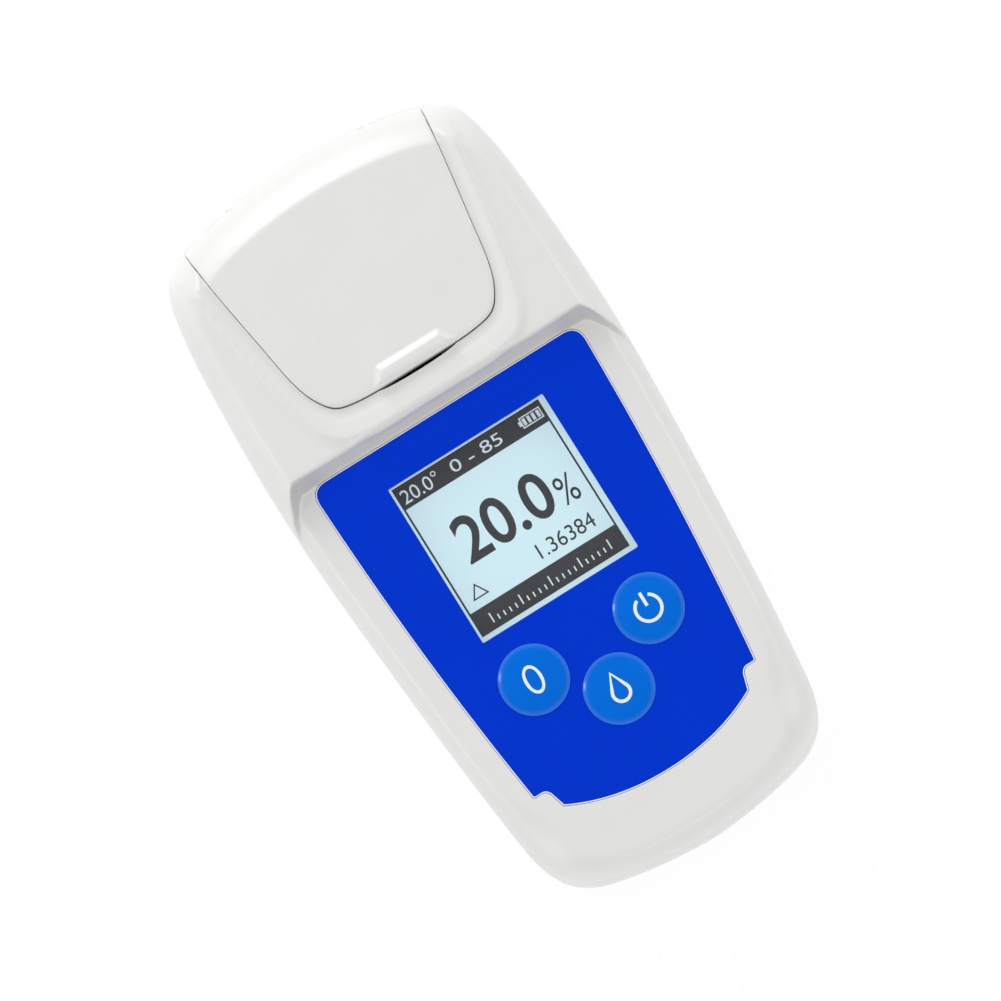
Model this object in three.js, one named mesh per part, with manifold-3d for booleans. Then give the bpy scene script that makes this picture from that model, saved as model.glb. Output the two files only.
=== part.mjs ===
// Digital brix refractometer: a hand-held bench instrument with a hinged lid over its sample well.
// Millimetres, +Z up. The origin is on the table, under the middle of the case. The lid end is at +Y.
import * as THREE from 'three';
import { mergeVertices } from 'three/addons/utils/BufferGeometryUtils.js';
import Module from 'manifold-3d';

const wasm = await Module();
wasm.setup();

// Walls, clearances and the shell's own edges
const wall = 1.8;
const lidWall = 2.2;
const seam = 0.3;
const seatGap = 0.1;
const overrun = 2;
const footProud = 0.6;
const bottomEdge = 3;
const bottomEdgeHeight = 3.4;
const railSetIn = 0.3;
const girthRise = 3;
const headRise = 4.4;
const rimRise = 0.6;
const tabRise = 0.8;
const sideRoom = 5.3;

// Plan of the case at its girth, of the head's flat top and of the keypad's flat top.
// Each row holds shares of the half width and of the half length, from the lid end to the tail.
const girthShares = [
  [0, 1], [0.41, 0.981], [0.683, 0.953], [0.84, 0.917], [0.887, 0.887], [0.925, 0.83], [0.962, 0.717],
  [0.985, 0.533], [1, 0.317], [0.99, 0.083], [0.962, -0.133], [0.925, -0.378], [0.884, -0.6],
  [0.85, -0.75], [0.826, -0.833], [0.765, -0.903], [0.648, -0.948], [0.478, -0.972], [0.256, -0.99],
  [0, -1],
];
const headTopShares = [
  [0, 0.867], [0.358, 0.853], [0.58, 0.83], [0.758, 0.793], [0.812, 0.767], [0.84, 0.725], [0.85, 0.65],
  [0.857, 0.5], [0.857, 0.3], [0.85, 0.067], [0.826, -0.133], [0.79, -0.367], [0.75, -0.583],
  [0.71, -0.717], [0.683, -0.783], [0.631, -0.842], [0.53, -0.883], [0.39, -0.908], [0.205, -0.925],
  [0, -0.933],
];
const keypadTopShares = [
  [0, 0.95], [0.386, 0.933], [0.642, 0.907], [0.785, 0.872], [0.833, 0.847], [0.863, 0.8], [0.894, 0.7],
  [0.915, 0.525], [0.922, 0.317], [0.915, 0.083], [0.887, -0.133], [0.85, -0.378], [0.812, -0.6],
  [0.737, -0.72], [0.638, -0.792], [0.594, -0.87], [0.512, -0.913], [0.375, -0.938], [0.205, -0.95],
  [0, -0.953],
];

// Step between the head and the keypad, swept towards the tail at its ends
const stepDraft = 1.1;
const stepCornerInset = 4.8;
const stepSweep = 3.9;
const stepSweepShares = [[0.45, 0.22], [1, 1]];
const stepToLid = 6.2;

// Lid and its raised rim: plan shares of the half width and of the length back to the lid end
const lidInset = 8;
const lidRoom = 0.7;
const lidShares = [
  [0, 0], [0.48, 0.006], [0.64, 0.03], [0.732, 0.094], [0.793, 0.184], [0.859, 0.403], [0.93, 0.662],
  [0.981, 0.896], [1, 1.08],
];
const rimFront = 4.4;
const rimWidth = 1.7;
const rimShares = [
  [0, 0], [0.545, 0.006], [0.68, 0.035], [0.765, 0.11], [0.822, 0.231], [0.863, 0.347], [0.907, 0.487],
  [0.947, 0.65], [0.97, 0.767], [1, 1.08],
];
const rimSlope = 1.4;
const tabBaseHalf = 7.2;
const tabTopHalf = 5.5;
const tabSetBack = 0.3;
const tabDepth = 2.9;
const tabSlope = 1.05;
const nailNotchHalf = 5.6;
const nailNotchDepth = 0.45;
const nailNotchDrop = 1.6;

// Hinge of the lid: a barrel on the lid, two lugs on the case and a pin through each
const barrelRadius = 2.6;
const hingeDrop = 9.2;
const hingeRoomBelow = 3.4;
const ledgeThickness = 1.6;
const lugX = 10.5;
const lugWidth = 2.4;
const lugRadius = 2.2;
const pinRadius = 0.8;
const pinLength = 9;
const pinClearance = 0.08;

// Keypad overlay, display window and buttons, with the distances between them along the case
const overlayTopInset = 6.1;
const overlayMidInset = 7.5;
const overlayLowInset = 10.2;
const overlayToStep = 0.6;
const overlayLowRise = 6.9;
const overlayMidRise = 33.5;
const overlayCorner = 2.7;
const overlayLowCorner = 0.6;
const overlayThickness = 0.4;
const overlayGap = 0.2;
const notchInset = 2.1;
const notchCorner = 1.2;
const chinInset = 1.2;
const chinRise = 3.7;
const chinPullShare = 0.57;
const chinDepth = 11.5;
const windowSide = 27;
const windowTopMargin = 5.95;
const windowToKeys = 3.25;
const windowSunk = 0.15;
const windowFlange = 1.2;
const windowFlangeThickness = 0.5;
const buttonRadius = 5.4;
const buttonProud = 0.6;
const buttonDomeShares = [[1, 0.35], [0.93, 0.75], [0.6, 0.95], [0, 1]];
const buttonTravel = 0.4;
const stemRadius = 1.8;
const keyLip = 0.7;
const keyFlangeThickness = 0.5;
const keyGap = 0.482;
const keyFanShares = [0.7885, 0.615];
const keyToOverlayEnd = 8.4;

// Main board, display and switches
const boardThickness = 1;
const boardToBoss = 0.6;
const boardBeyondDisplay = 5.45;
const boardBeyondKeys = 10.3;
const boardScrewInset = 3.2;
const boardScrewFromHead = 2.2;
const boardScrewFromTail = 2.6;
const displayMargin = 1.5;
const displayEndMargin = 0.7;
const lcdThickness = 1.4;
const lcdFrameWall = 1;
const stripWidth = 1.6;
const stripHeight = 1.2;
const switchSide = 5;
const switchHeight = 1.4;
const chipSide = 7;
const chipHeight = 0.9;

// Battery bay, batteries and door
const batteryRadius = 5.25;
const batteryLength = 44.5;
const batteryRoom = 0.5;
const batteryGap = 0.7;
const nubRadius = 1.9;
const nubLength = 0.9;
const contactThickness = 0.4;
const contactHalfHeight = 4;
const contactHalfWidth = 4.4;
const contactTabHalfWidth = 1.2;
const bayToTail = 4.1;
const bayRib = 1.4;
const springRoom = 5;
const springRadius = 2.9;
const springWire = 0.6;
const springTurns = 3;
const doorSideMargin = 2.15;
const doorShort = 1.3;
const doorLip = 1.1;
const doorLipHeight = 0.7;
const doorThickness = 1.6;
const doorFlangeThickness = 0.7;
const doorGripHalfWidth = 6;
const doorGripDepth = 0.5;
const doorGripWidth = 1;
const doorGripPitch = 2.4;
const doorGripCount = 4;
const doorGripSetBack = 13.5;

// Screws and feet
const bossToDoor = 3.7;
const caseScrewFromTail = 23;
const caseScrewPastLid = 2.5;
const caseBossRadius = 3.1;
const caseScrewRadius = 1.1;
const caseScrewHeadRadius = 2;
const caseScrewHeadHeight = 1.4;
const caseScrewSunk = 1;
const caseScrewBite = 5.5;
const smallScrewRadius = 0.8;
const smallScrewHeadRadius = 1.7;
const smallScrewHeadHeight = 0.8;
const smallScrewBite = 2;
const smallBossRadius = 2;
const footRadius = 3.2;
const footRecess = 0.6;
const footToDoor = 1.3;
const footFromTail = 13;
const footFromHead = 17;

// Sample well
const wellFlangeRadius = 12.5;
const wellFlangeThickness = 0.8;
const wellRimInset = 1.9;
const wellSkirtInset = 1.3;
const wellBoreRadius = 5.6;
const wellFootLand = 1.8;
const wellLand = 0.4;
const wellDepth = 4.4;
const wellFrontMargin = 3.5;
const wellRearMargin = 4.5;
const prismSealLand = 0.9;
const prismSealWidth = 1;
const prismSealHeight = 0.5;
const lidSealInset = 0.3;
const lidSealWidth = 1.4;

// Optics under the well
const prismFootHalf = 2.6;
const prismHeight = 7.2;
const prismProud = 0.4;
const blockSide = 2.4;
const blockToHinge = 7.4;
const lensRoom = 3.4;
const blockLift = 1.8;
const lightRise = 3;
const lightBoreRadius = 2.3;
const ledRadius = 1.9;
const ledLength = 4.6;
const lensRadius = 2;
const lensThickness = 1.2;
const lensCrown = 0.5;
const lensCrownShares = [[1, 0], [0.5, 0.75], [0, 1]];
const lensSetBack = 2.4;
const opticsBoardThickness = 1.2;
const opticsBoardInset = 1.5;
const opticsBoardBelow = 7;
const opticsBoardAbove = 2.2;
const sensorHalfWidth = 5.2;
const sensorHalfHeight = 1.6;
const sensorThickness = 1;
const earToWell = 1;
const earRadius = 2.4;
const earThickness = 1.6;
const thermistorToWell = 1.3;
const thermistorRadius = 0.8;
const thermistorLength = 1.1;
const ribbonHalfWidth = 4;
const ribbonThickness = 0.3;
const ribbonLap = 3;
const ribbonDrop = 4.4;
const cableRadius = 0.6;
const cableStartX = 5;
const cableTurnX = 11;
const cableX = 14.5;
const cableDrop = 4;
const cableLeadOut = 1.2;
const cableLeadIn = 2.4;

// Seal between the two shells: shares of the wall that its groove and the seal itself take
const sealRoomShares = [0.25, 0.75];
const sealShares = [0.31, 0.69];
const sealDepth = 0.8;

// Facets round circles and points along curves
const fineSides = 24;
const plainSides = 16;
const smallSides = 10;
const socketSides = 6;
const edgeSteps = 4;
const planSpanSteps = 1;
const lidSpanSteps = 1;
const overlayCurveSteps = 5;
const springTurnSteps = 8;
const springSides = 5;
const cableSides = 8;
const cableSteps = 18;

// Levels, from the table up through the batteries, the board and the display to the keypad
const bottomZ = footProud;
const doorTopZ = bottomZ + doorThickness;
const batteryZ = doorTopZ + seam + batteryRadius;
const boardBottomZ = batteryZ + batteryRadius + batteryRoom;
const boardTopZ = boardBottomZ + boardThickness;
const lcdBottomZ = boardTopZ + stripHeight + 2 * seatGap;
const lcdTopZ = lcdBottomZ + lcdThickness;
const ceilingZ = lcdTopZ + seatGap;
const keypadZ = ceilingZ + wall;
const recessZ = keypadZ - overlayThickness - seatGap;
const windowFlangeTopZ = ceilingZ + seatGap + windowFlangeThickness;
const switchTopZ = boardTopZ + seatGap + switchHeight;
const stemBottomZ = switchTopZ + buttonTravel + seatGap;
const keyFlangeTopZ = ceilingZ - seatGap;

// Levels of the head, the hinge and the optics
const shoulderZ = keypadZ + headRise;
const lidZ = shoulderZ + rimRise;
const tabZ = lidZ + tabRise;
const deckZ = lidZ - lidWall - lidRoom;
const hingeZ = lidZ - hingeDrop;
const hingeLedgeZ = hingeZ - hingeRoomBelow;
const partingZ = hingeLedgeZ - ledgeThickness;
const girthZ = partingZ + girthRise;
const upperEdgeZ = partingZ + seam / 2;
const lowerEdgeZ = partingZ - seam / 2;
const caseScrewSeatZ = bottomZ + caseScrewSunk + caseScrewHeadHeight;
const caseScrewTipZ = partingZ + caseScrewBite;
const wellFlangeBottomZ = deckZ - wellFlangeThickness;
const wellFootZ = deckZ - wellDepth;
const prismTopZ = wellFootZ - prismSealHeight - 2 * seatGap;
const prismFootZ = prismTopZ - prismHeight;
const lightAxisZ = prismFootZ + lightRise;
const blockTopZ = prismTopZ - prismProud;
const blockBottomZ = bottomZ + wall + blockLift;
const earBottomZ = blockTopZ - earThickness;
const thermistorZ = blockTopZ + seatGap;

// Places across the case, from the batteries outwards
const batteryPitch = 2 * batteryRadius + batteryGap;
const doorHalfWidth = batteryPitch / 2 + batteryRadius + doorSideMargin;
const doorFlangeHalfWidth = doorHalfWidth + doorLip;
const caseScrewX = doorFlangeHalfWidth + bossToDoor + caseBossRadius;
const footX = doorFlangeHalfWidth + footToDoor + footRadius;
const halfWidth = caseScrewX + caseBossRadius + sideRoom;
const boardHalfWidth = caseScrewX - caseBossRadius - boardToBoss;
const boardScrewX = boardHalfWidth - boardScrewInset;
const stepCornerX = halfWidth - stepCornerInset;
const lidHalfWidth = halfWidth - lidInset;
const rimHalfWidth = lidHalfWidth + rimWidth;
const overlayTopHalf = halfWidth - overlayTopInset;
const overlayMidHalf = halfWidth - overlayMidInset;
const overlayLowHalf = halfWidth - overlayLowInset;
const notchHalf = overlayLowHalf - notchInset;
const chinHalf = notchHalf - chinInset;
const keyFlangeRadius = buttonRadius + keyLip;
const keyPitch = 2 * keyFlangeRadius + keyGap;
const [keySpreadShare, keyDropShare] = keyFanShares;
const buttonSpreadX = keyPitch * keySpreadShare;
const keyRowPitch = keyPitch * keyDropShare;
const lcdHalfWidth = windowSide / 2 + displayMargin;
const lcdHalfLength = windowSide / 2 + displayEndMargin;

// Sizes of the well, its seals and the prism
const wellRimRadius = wellFlangeRadius - wellRimInset;
const wellSkirtRadius = wellFlangeRadius - wellSkirtInset;
const wellFootRadius = wellBoreRadius + wellFootLand;
const prismSealRadius = wellBoreRadius + prismSealLand;
const prismHalfWidth = prismSealRadius + prismSealWidth / 2;
const prismTopHalf = prismHalfWidth;
const lidSealRadius = wellFlangeRadius - lidSealInset;
const blockHalfWidth = prismHalfWidth + seatGap + blockSide;
const blockTowardsTail = prismTopHalf + seatGap + lensRoom;
const opticsBoardHalfWidth = blockHalfWidth - opticsBoardInset;
const opticsBoardBottomZ = lightAxisZ - opticsBoardBelow;
const opticsBoardTopZ = lightAxisZ + opticsBoardAbove;
const earX = wellFlangeRadius + seam + earToWell + smallBossRadius;
const thermistorX = wellFootRadius + thermistorToWell;

// Places along the case: the head is as long as the lid, which reaches from the well's front to the hinge,
// and the keypad is as long as the window, the keys and their margins
const lidLength = wellFrontMargin + 2 * wellFlangeRadius + wellRearMargin + seam + 2 * barrelRadius;
const overlayLength = windowTopMargin + windowSide + windowToKeys + keyRowPitch
  + 2 * buttonRadius + keyToOverlayEnd;
const caseLength = lidLength + stepToLid + overlayToStep + overlayLength + chinDepth;
const halfLength = caseLength / 2;
const reach = caseLength;
const overlayEndY = -halfLength + chinDepth;
const measureButtonY = overlayEndY + keyToOverlayEnd + buttonRadius;
const buttonRowY = measureButtonY + keyRowPitch;
const windowY = buttonRowY + buttonRadius + windowToKeys + windowSide / 2;
const overlayTopY = windowY + windowSide / 2 + windowTopMargin;
const overlayLowY = overlayEndY + overlayLowRise;
const overlayMidY = overlayEndY + overlayMidRise;
const chinY = overlayEndY + chinRise;
const stepFootY = overlayTopY + overlayToStep;
const lidFrontY = stepFootY + stepToLid;
const rimFrontY = lidFrontY - rimFront;
const hingeY = halfLength - barrelRadius;
const wellY = lidFrontY + wellFrontMargin + wellFlangeRadius;
const blockHeadY = hingeY - blockToHinge;
const blockTailY = wellY - blockTowardsTail;
const boardHeadY = windowY + lcdHalfLength + seatGap + lcdFrameWall + boardBeyondDisplay;
const boardTailY = measureButtonY - boardBeyondKeys;
const boardScrewHeadY = boardHeadY - boardScrewFromHead;
const boardScrewTailY = boardTailY + boardScrewFromTail;
const bayLength = 2 * contactThickness + 4 * seatGap + springRoom + batteryLength;
const bayHeadY = -halfLength + bayToTail + bayLength;
const batteryEndY = bayHeadY - contactThickness - 2 * seatGap;
const doorHeadY = bayHeadY - doorShort;
const doorGripY = doorHeadY - doorGripSetBack;
const caseScrewTailY = -halfLength + caseScrewFromTail;
const caseScrewHeadY = lidFrontY + caseScrewPastLid;
const footTailY = -halfLength + footFromTail;
const footHeadY = halfLength - footFromHead;
const sensorY = blockTailY - seatGap - sensorThickness;
const sensorBoardY = sensorY - seatGap - opticsBoardThickness;
const ledBoardY = blockHeadY + seatGap;

// Materials
const whitePlastic = { color: 0xe9e9e7, roughness: 0.45, metalness: 0 };
const bluePrint = { color: 0x0032cd, roughness: 0.35, metalness: 0 };
const keyBlue = { color: 0x006ed7, roughness: 0.35, metalness: 0 };
const clearPlastic = { color: 0xdfeef2, roughness: 0.1, metalness: 0, transparent: true, opacity: 0.35 };
const displayGlass = { color: 0xcdebf5, roughness: 0.2, metalness: 0 };
const blackPlastic = { color: 0x1c1d1f, roughness: 0.6, metalness: 0 };
const blackRubber = { color: 0x202124, roughness: 0.85, metalness: 0 };
const greyRubber = { color: 0x9a9c9e, roughness: 0.8, metalness: 0 };
const steel = { color: 0xb9bcc0, roughness: 0.3, metalness: 1 };
const boardGreen = { color: 0x1f6b3a, roughness: 0.5, metalness: 0 };
const clearGlass = { color: 0xe8f2f4, roughness: 0.05, metalness: 0, transparent: true, opacity: 0.4 };
const batteryFoil = { color: 0x3c4650, roughness: 0.4, metalness: 0.3 };
const ribbonFilm = { color: 0xc9791f, roughness: 0.5, metalness: 0 };
const cableJacket = { color: 0x55585c, roughness: 0.6, metalness: 0 };

const instrument = new THREE.Group();

function toSolid(geometry) {
  const bare = geometry.clone();
  bare.deleteAttribute('normal');
  bare.deleteAttribute('uv');
  const welded = mergeVertices(bare);
  const vertProperties = Float32Array.from(welded.attributes.position.array);
  const triVerts = Uint32Array.from(welded.index.array);
  return new wasm.Manifold(new wasm.Mesh({ numProp: 3, vertProperties, triVerts }));
}

function toGeometry(solid) {
  const { vertProperties, triVerts } = solid.getMesh();
  const geometry = new THREE.BufferGeometry();
  geometry.setAttribute('position', new THREE.BufferAttribute(vertProperties, 3));
  geometry.setIndex(new THREE.BufferAttribute(triVerts, 1));
  return geometry;
}

function addMesh(name, shape, finish) {
  const geometry = shape.isBufferGeometry ? shape : toGeometry(shape);
  const mesh = new THREE.Mesh(geometry, new THREE.MeshStandardMaterial(finish));
  mesh.name = name;
  instrument.add(mesh);
}

function join(...solids) {
  return solids.reduce((whole, piece) => whole.add(piece));
}

function cut(solid, ...tools) {
  return tools.reduce((whole, tool) => whole.subtract(tool), solid);
}

function box(x0, x1, y0, y1, z0, z1) {
  const geometry = new THREE.BoxGeometry(x1 - x0, y1 - y0, z1 - z0);
  return toSolid(geometry.translate((x0 + x1) / 2, (y0 + y1) / 2, (z0 + z1) / 2));
}

// A level slice of all space, wider than the case
function slab(z0, z1) {
  return box(-reach, reach, -reach, reach, z0, z1);
}

function disc(x, y, radius, z0, z1, sides = plainSides) {
  const geometry = new THREE.CylinderGeometry(radius, radius, z1 - z0, sides);
  return toSolid(geometry.rotateX(Math.PI / 2).translate(x, y, (z0 + z1) / 2));
}

function rodAlongX(x0, x1, y, z, radius, sides = plainSides) {
  const geometry = new THREE.CylinderGeometry(radius, radius, x1 - x0, sides);
  return toSolid(geometry.rotateZ(Math.PI / 2).translate((x0 + x1) / 2, y, z));
}

function rodAlongY(x, y0, y1, z, radius, sides = plainSides) {
  const geometry = new THREE.CylinderGeometry(radius, radius, y1 - y0, sides);
  return toSolid(geometry.translate(x, (y0 + y1) / 2, z));
}

// A profile of [radius, z] points turned about the upright line through x, y
function turned(profile, x, y, sides) {
  const points = profile.map(([radius, z]) => new THREE.Vector2(radius, z));
  return toSolid(new THREE.LatheGeometry(points, sides).rotateX(Math.PI / 2).translate(x, y, 0));
}

function ring(x, y, outer, inner, z0, z1) {
  return cut(disc(x, y, outer, z0, z1, fineSides), disc(x, y, inner, z0 - overrun, z1 + overrun, fineSides));
}

function prismOf(points, z0, z1) {
  const shape = new THREE.Shape(points.map((p) => new THREE.Vector2(p.x, p.y)));
  const geometry = new THREE.ExtrudeGeometry(shape, { depth: z1 - z0, bevelEnabled: false });
  return toSolid(geometry.translate(0, 0, z0));
}

// An outline of [y, z] points drawn out along X
function drawnAlongX(points, x0, x1) {
  const shape = new THREE.Shape(points.map(([y, z]) => new THREE.Vector2(y, z)));
  const geometry = new THREE.ExtrudeGeometry(shape, { depth: x1 - x0, bevelEnabled: false });
  return toSolid(geometry.rotateX(Math.PI / 2).rotateZ(Math.PI / 2).translate(x0, 0, 0));
}

// A closed solid through rings of points, one above the other
function loft(rings) {
  const count = rings[0].length;
  const last = rings.length - 1;
  const faces = [];
  for (let level = 0; level < last; level += 1) {
    for (let i = 0; i < count; i += 1) {
      const a = level * count + i;
      const b = level * count + ((i + 1) % count);
      faces.push(a, b, b + count, a, b + count, a + count);
    }
  }
  const flat = (points) => points.map((p) => new THREE.Vector2(p.x, p.y));
  const floor = THREE.ShapeUtils.triangulateShape(flat(rings[0]), []);
  const roof = THREE.ShapeUtils.triangulateShape(flat(rings[last]), []);
  floor.forEach(([a, b, c]) => faces.push(a, c, b));
  roof.forEach((triangle) => faces.push(...triangle.map((i) => i + last * count)));
  const geometry = new THREE.BufferGeometry();
  const positions = rings.flatMap((points) => points.flatMap((p) => [p.x, p.y, p.z]));
  geometry.setAttribute('position', new THREE.Float32BufferAttribute(positions, 3));
  geometry.setIndex(faces);
  return toSolid(geometry);
}

// Closed plan curve from shares of the right-hand side, run anticlockwise and moved in by inset
function planRing(shares, inset, z) {
  const across = halfWidth - inset;
  const along = halfLength - inset;
  const right = shares.map(([x, y]) => new THREE.Vector3(x * across, y * along, z));
  const left = right.slice(1, -1).reverse().map((p) => new THREE.Vector3(-p.x, p.y, z));
  const curve = new THREE.CatmullRomCurve3([...right, ...left], true);
  const count = (right.length + left.length) * planSpanSteps;
  return Array.from({ length: count }, (_, i) => curve.getPoint(i / count)).reverse();
}

// Rings that round the wall over from the girth to a flat top
function roundedRings(topShares, topZ, inset) {
  const low = planRing(girthShares, inset, girthZ);
  const high = planRing(topShares, inset, girthZ);
  return Array.from({ length: edgeSteps + 1 }, (_, step) => {
    const angle = (step / edgeSteps) * (Math.PI / 2);
    const points = low.map((p, i) => p.clone().lerp(high[i], 1 - Math.cos(angle)));
    points.forEach((p) => { p.z = girthZ + (topZ - girthZ) * Math.sin(angle); });
    return points;
  });
}

function lowerForm(inset) {
  const browShare = 1 - Math.SQRT1_2;
  return loft([
    planRing(girthShares, inset + bottomEdge, bottomZ + inset),
    planRing(girthShares, inset + bottomEdge * browShare, bottomZ + inset + bottomEdgeHeight * browShare),
    planRing(girthShares, inset, bottomZ + inset + bottomEdgeHeight),
    planRing(girthShares, inset, girthZ),
  ]);
}

function headForm(topZ, inset) {
  return loft(roundedRings(headTopShares, topZ, inset));
}

// Everything on the lid's side of the step, whose wall leans back as it rises
function headZone(inset) {
  const plan = (z) => {
    const y = stepFootY + inset + stepDraft * ((z - keypadZ) / (shoulderZ - keypadZ));
    const swept = stepSweepShares.map(([x, drop]) => [
      stepCornerX + (halfWidth + overrun - stepCornerX) * x, y - stepSweep * drop,
    ]);
    const right = [[stepCornerX, y], ...swept];
    const left = right.map(([x, at]) => [-x, at]).reverse();
    const far = halfLength + overrun;
    return [...left, ...right, [halfWidth + overrun, far], [-halfWidth - overrun, far]]
      .map(([x, at]) => new THREE.Vector3(x, at, z));
  };
  return loft([plan(girthZ), plan(lidZ + overrun)]);
}

function caseForm(inset) {
  const keypad = loft(roundedRings(keypadTopShares, keypadZ - inset, inset + railSetIn));
  const head = headForm(shoulderZ - inset, inset).intersect(headZone(inset));
  return join(lowerForm(inset), keypad, head);
}

// Plan of the lid or of its rim, open to the rear; grow moves its edge outwards
function lidPlan(shares, frontY, width, grow, z) {
  const right = shares.map(([x, y]) => new THREE.Vector3(
    x * (width + grow), frontY - grow + y * (halfLength - frontY), z,
  ));
  const left = right.slice(1).reverse().map((p) => new THREE.Vector3(-p.x, p.y, z));
  const curve = new THREE.CatmullRomCurve3([...left, ...right]);
  const count = (left.length + right.length - 1) * lidSpanSteps;
  return Array.from({ length: count + 1 }, (_, i) => curve.getPoint(i / count));
}

// Space for the lid in the case: its own room, the hinge barrel's seat and the way behind it
function lidPocket(extra) {
  const grow = seam / 2 + extra;
  const room = prismOf(lidPlan(lidShares, lidFrontY, lidHalfWidth, grow, 0), hingeZ, lidZ + overrun);
  const deck = headForm(deckZ - extra, lidWall + seam + extra);
  const sideX = lidHalfWidth + grow;
  const seat = rodAlongX(-sideX, sideX, hingeY, hingeZ, barrelRadius + seam + extra, fineSides);
  const behind = box(-sideX, sideX, hingeY, halfLength + overrun, hingeLedgeZ - extra, hingeZ + overrun);
  return join(cut(room, deck), seat, behind);
}

// The raised rim round the lid, sloping down to the shoulders
function rimForm() {
  const plan = (grow, z) => lidPlan(rimShares, rimFrontY, rimHalfWidth, grow, z);
  const ridge = loft([plan(0, hingeZ), plan(0, shoulderZ - seatGap), plan(-rimSlope, lidZ)]);
  return ridge.intersect(headForm(lidZ, 0));
}

const sides = [-1, 1];
const inPairs = (rows, x) => rows.flatMap((y) => sides.map((side) => [side * x, y]));
const caseScrewPlaces = inPairs([caseScrewTailY, caseScrewHeadY], caseScrewX);
const boardScrewPlaces = inPairs([boardScrewTailY, boardScrewHeadY], boardScrewX);
const earPlaces = inPairs([wellY], earX);
const footPlaces = inPairs([footTailY, footHeadY], footX);
const buttons = [
  ['zero', -buttonSpreadX, buttonRowY],
  ['power', buttonSpreadX, buttonRowY],
  ['measure', 0, measureButtonY],
];

function square(half, y, z0, z1) {
  return box(-half, half, y - half, y + half, z0, z1);
}

// Overlay's outline, moved outwards by grow
function overlayPlan(grow) {
  const midPull = 2 * overlayMidHalf - (overlayLowHalf + overlayTopHalf) / 2;
  const lowX = overlayLowHalf + grow;
  const lowY = overlayLowY - grow;
  const topX = overlayTopHalf + grow;
  const topY = overlayTopY + grow;
  const halfTrace = (side) => {
    const path = new THREE.Path();
    const line = (x, y) => path.lineTo(side * x, y);
    const bend = (cornerX, cornerY, x, y) => path.quadraticCurveTo(side * cornerX, cornerY, side * x, y);
    path.moveTo(0, overlayEndY - grow);
    bend(chinHalf * chinPullShare, overlayEndY - grow, chinHalf + grow, chinY - grow);
    line(notchHalf - notchCorner / 2 + grow, lowY - notchCorner);
    bend(notchHalf - notchCorner / 4 + grow, lowY, notchHalf + notchCorner / 2 + grow, lowY);
    line(lowX - overlayLowCorner, lowY);
    bend(lowX, lowY, lowX, lowY + overlayLowCorner);
    bend(midPull + grow, overlayMidY, topX, topY - overlayCorner);
    bend(topX, topY, topX - overlayCorner, topY);
    return path.getPoints(overlayCurveSteps);
  };
  return [...halfTrace(1), ...halfTrace(-1).reverse().slice(0, -1)];
}

// Space that the battery door takes in the floor, with room to slide out at the tail
function doorWay(grow) {
  const lipTopZ = bottomZ + doorLipHeight;
  const plate = box(
    -doorHalfWidth - grow, doorHalfWidth + grow, -reach, doorHeadY + grow, bottomZ - grow, doorTopZ + grow,
  );
  const flangeX = doorFlangeHalfWidth + grow;
  const flangeBottomZ = Math.max(doorTopZ - doorFlangeThickness - grow, lipTopZ);
  return join(plate, box(-flangeX, flangeX, -reach, doorHeadY + grow, flangeBottomZ, doorTopZ + grow));
}

function topCover() {
  const cavity = cut(caseForm(wall), lidPocket(wall));
  const outside = join(caseForm(0), rimForm());
  const shell = cut(outside, cavity, lidPocket(0)).intersect(slab(upperEdgeZ, tabZ));
  const notch = prismOf([
    new THREE.Vector2(-nailNotchHalf - nailNotchDepth, lidFrontY),
    new THREE.Vector2(-nailNotchHalf, lidFrontY - seam / 2 - nailNotchDepth),
    new THREE.Vector2(nailNotchHalf, lidFrontY - seam / 2 - nailNotchDepth),
    new THREE.Vector2(nailNotchHalf + nailNotchDepth, lidFrontY),
  ], lidZ - nailNotchDrop, tabZ);
  const bosses = [
    ...caseScrewPlaces.map(([x, y]) => disc(
      x, y, caseBossRadius, upperEdgeZ, (y > 0 ? shoulderZ : keypadZ) - wall / 2,
    )),
    ...boardScrewPlaces.map(([x, y]) => disc(
      x, y, smallBossRadius, boardTopZ + seatGap, keypadZ - wall / 2,
    )),
    ...earPlaces.map(([x, y]) => disc(x, y, smallBossRadius, blockTopZ + seatGap, deckZ - wall / 2)),
  ];
  const lugs = sides.map((side) => {
    const x0 = side * lugX - lugWidth / 2;
    const knuckle = rodAlongX(x0, x0 + lugWidth, hingeY, hingeZ, lugRadius);
    const rootY = hingeY - barrelRadius - seam - wall / 2;
    const root = box(x0, x0 + lugWidth, rootY, hingeY, hingeZ - lugRadius, hingeZ);
    return join(knuckle, root).intersect(prismOf(planRing(girthShares, 0, 0), partingZ, lidZ));
  });
  const screwHole = (radius, topZ) => ([x, y]) => disc(x, y, radius + seatGap, 0, topZ + seam);
  const flangeHoleTopZ = windowFlangeTopZ + seatGap;
  const holes = [
    ...caseScrewPlaces.map(screwHole(caseScrewRadius, caseScrewTipZ)),
    ...boardScrewPlaces.map(screwHole(smallScrewRadius, boardTopZ + smallScrewBite)),
    ...earPlaces.map(screwHole(smallScrewRadius, blockTopZ + smallScrewBite)),
    ...sides.map((side) => hingePin(side, pinClearance)),
    ...buttons.map(([, x, y]) => disc(x, y, buttonRadius + seam, ceilingZ - overrun, tabZ, fineSides)),
    prismOf(overlayPlan(overlayGap), recessZ, tabZ),
    square(windowSide / 2 + overlayGap, windowY, ceilingZ - overrun, tabZ),
    square(windowSide / 2 + windowFlange + overlayGap, windowY, ceilingZ - overrun, flangeHoleTopZ),
    disc(0, wellY, wellSkirtRadius + seam, hingeZ, tabZ, fineSides),
    disc(0, wellY, wellFlangeRadius + seam, wellFlangeBottomZ - seatGap, tabZ, fineSides),
    notch,
  ];
  return cut(join(shell, ...bosses, ...lugs), ...holes);
}

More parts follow.
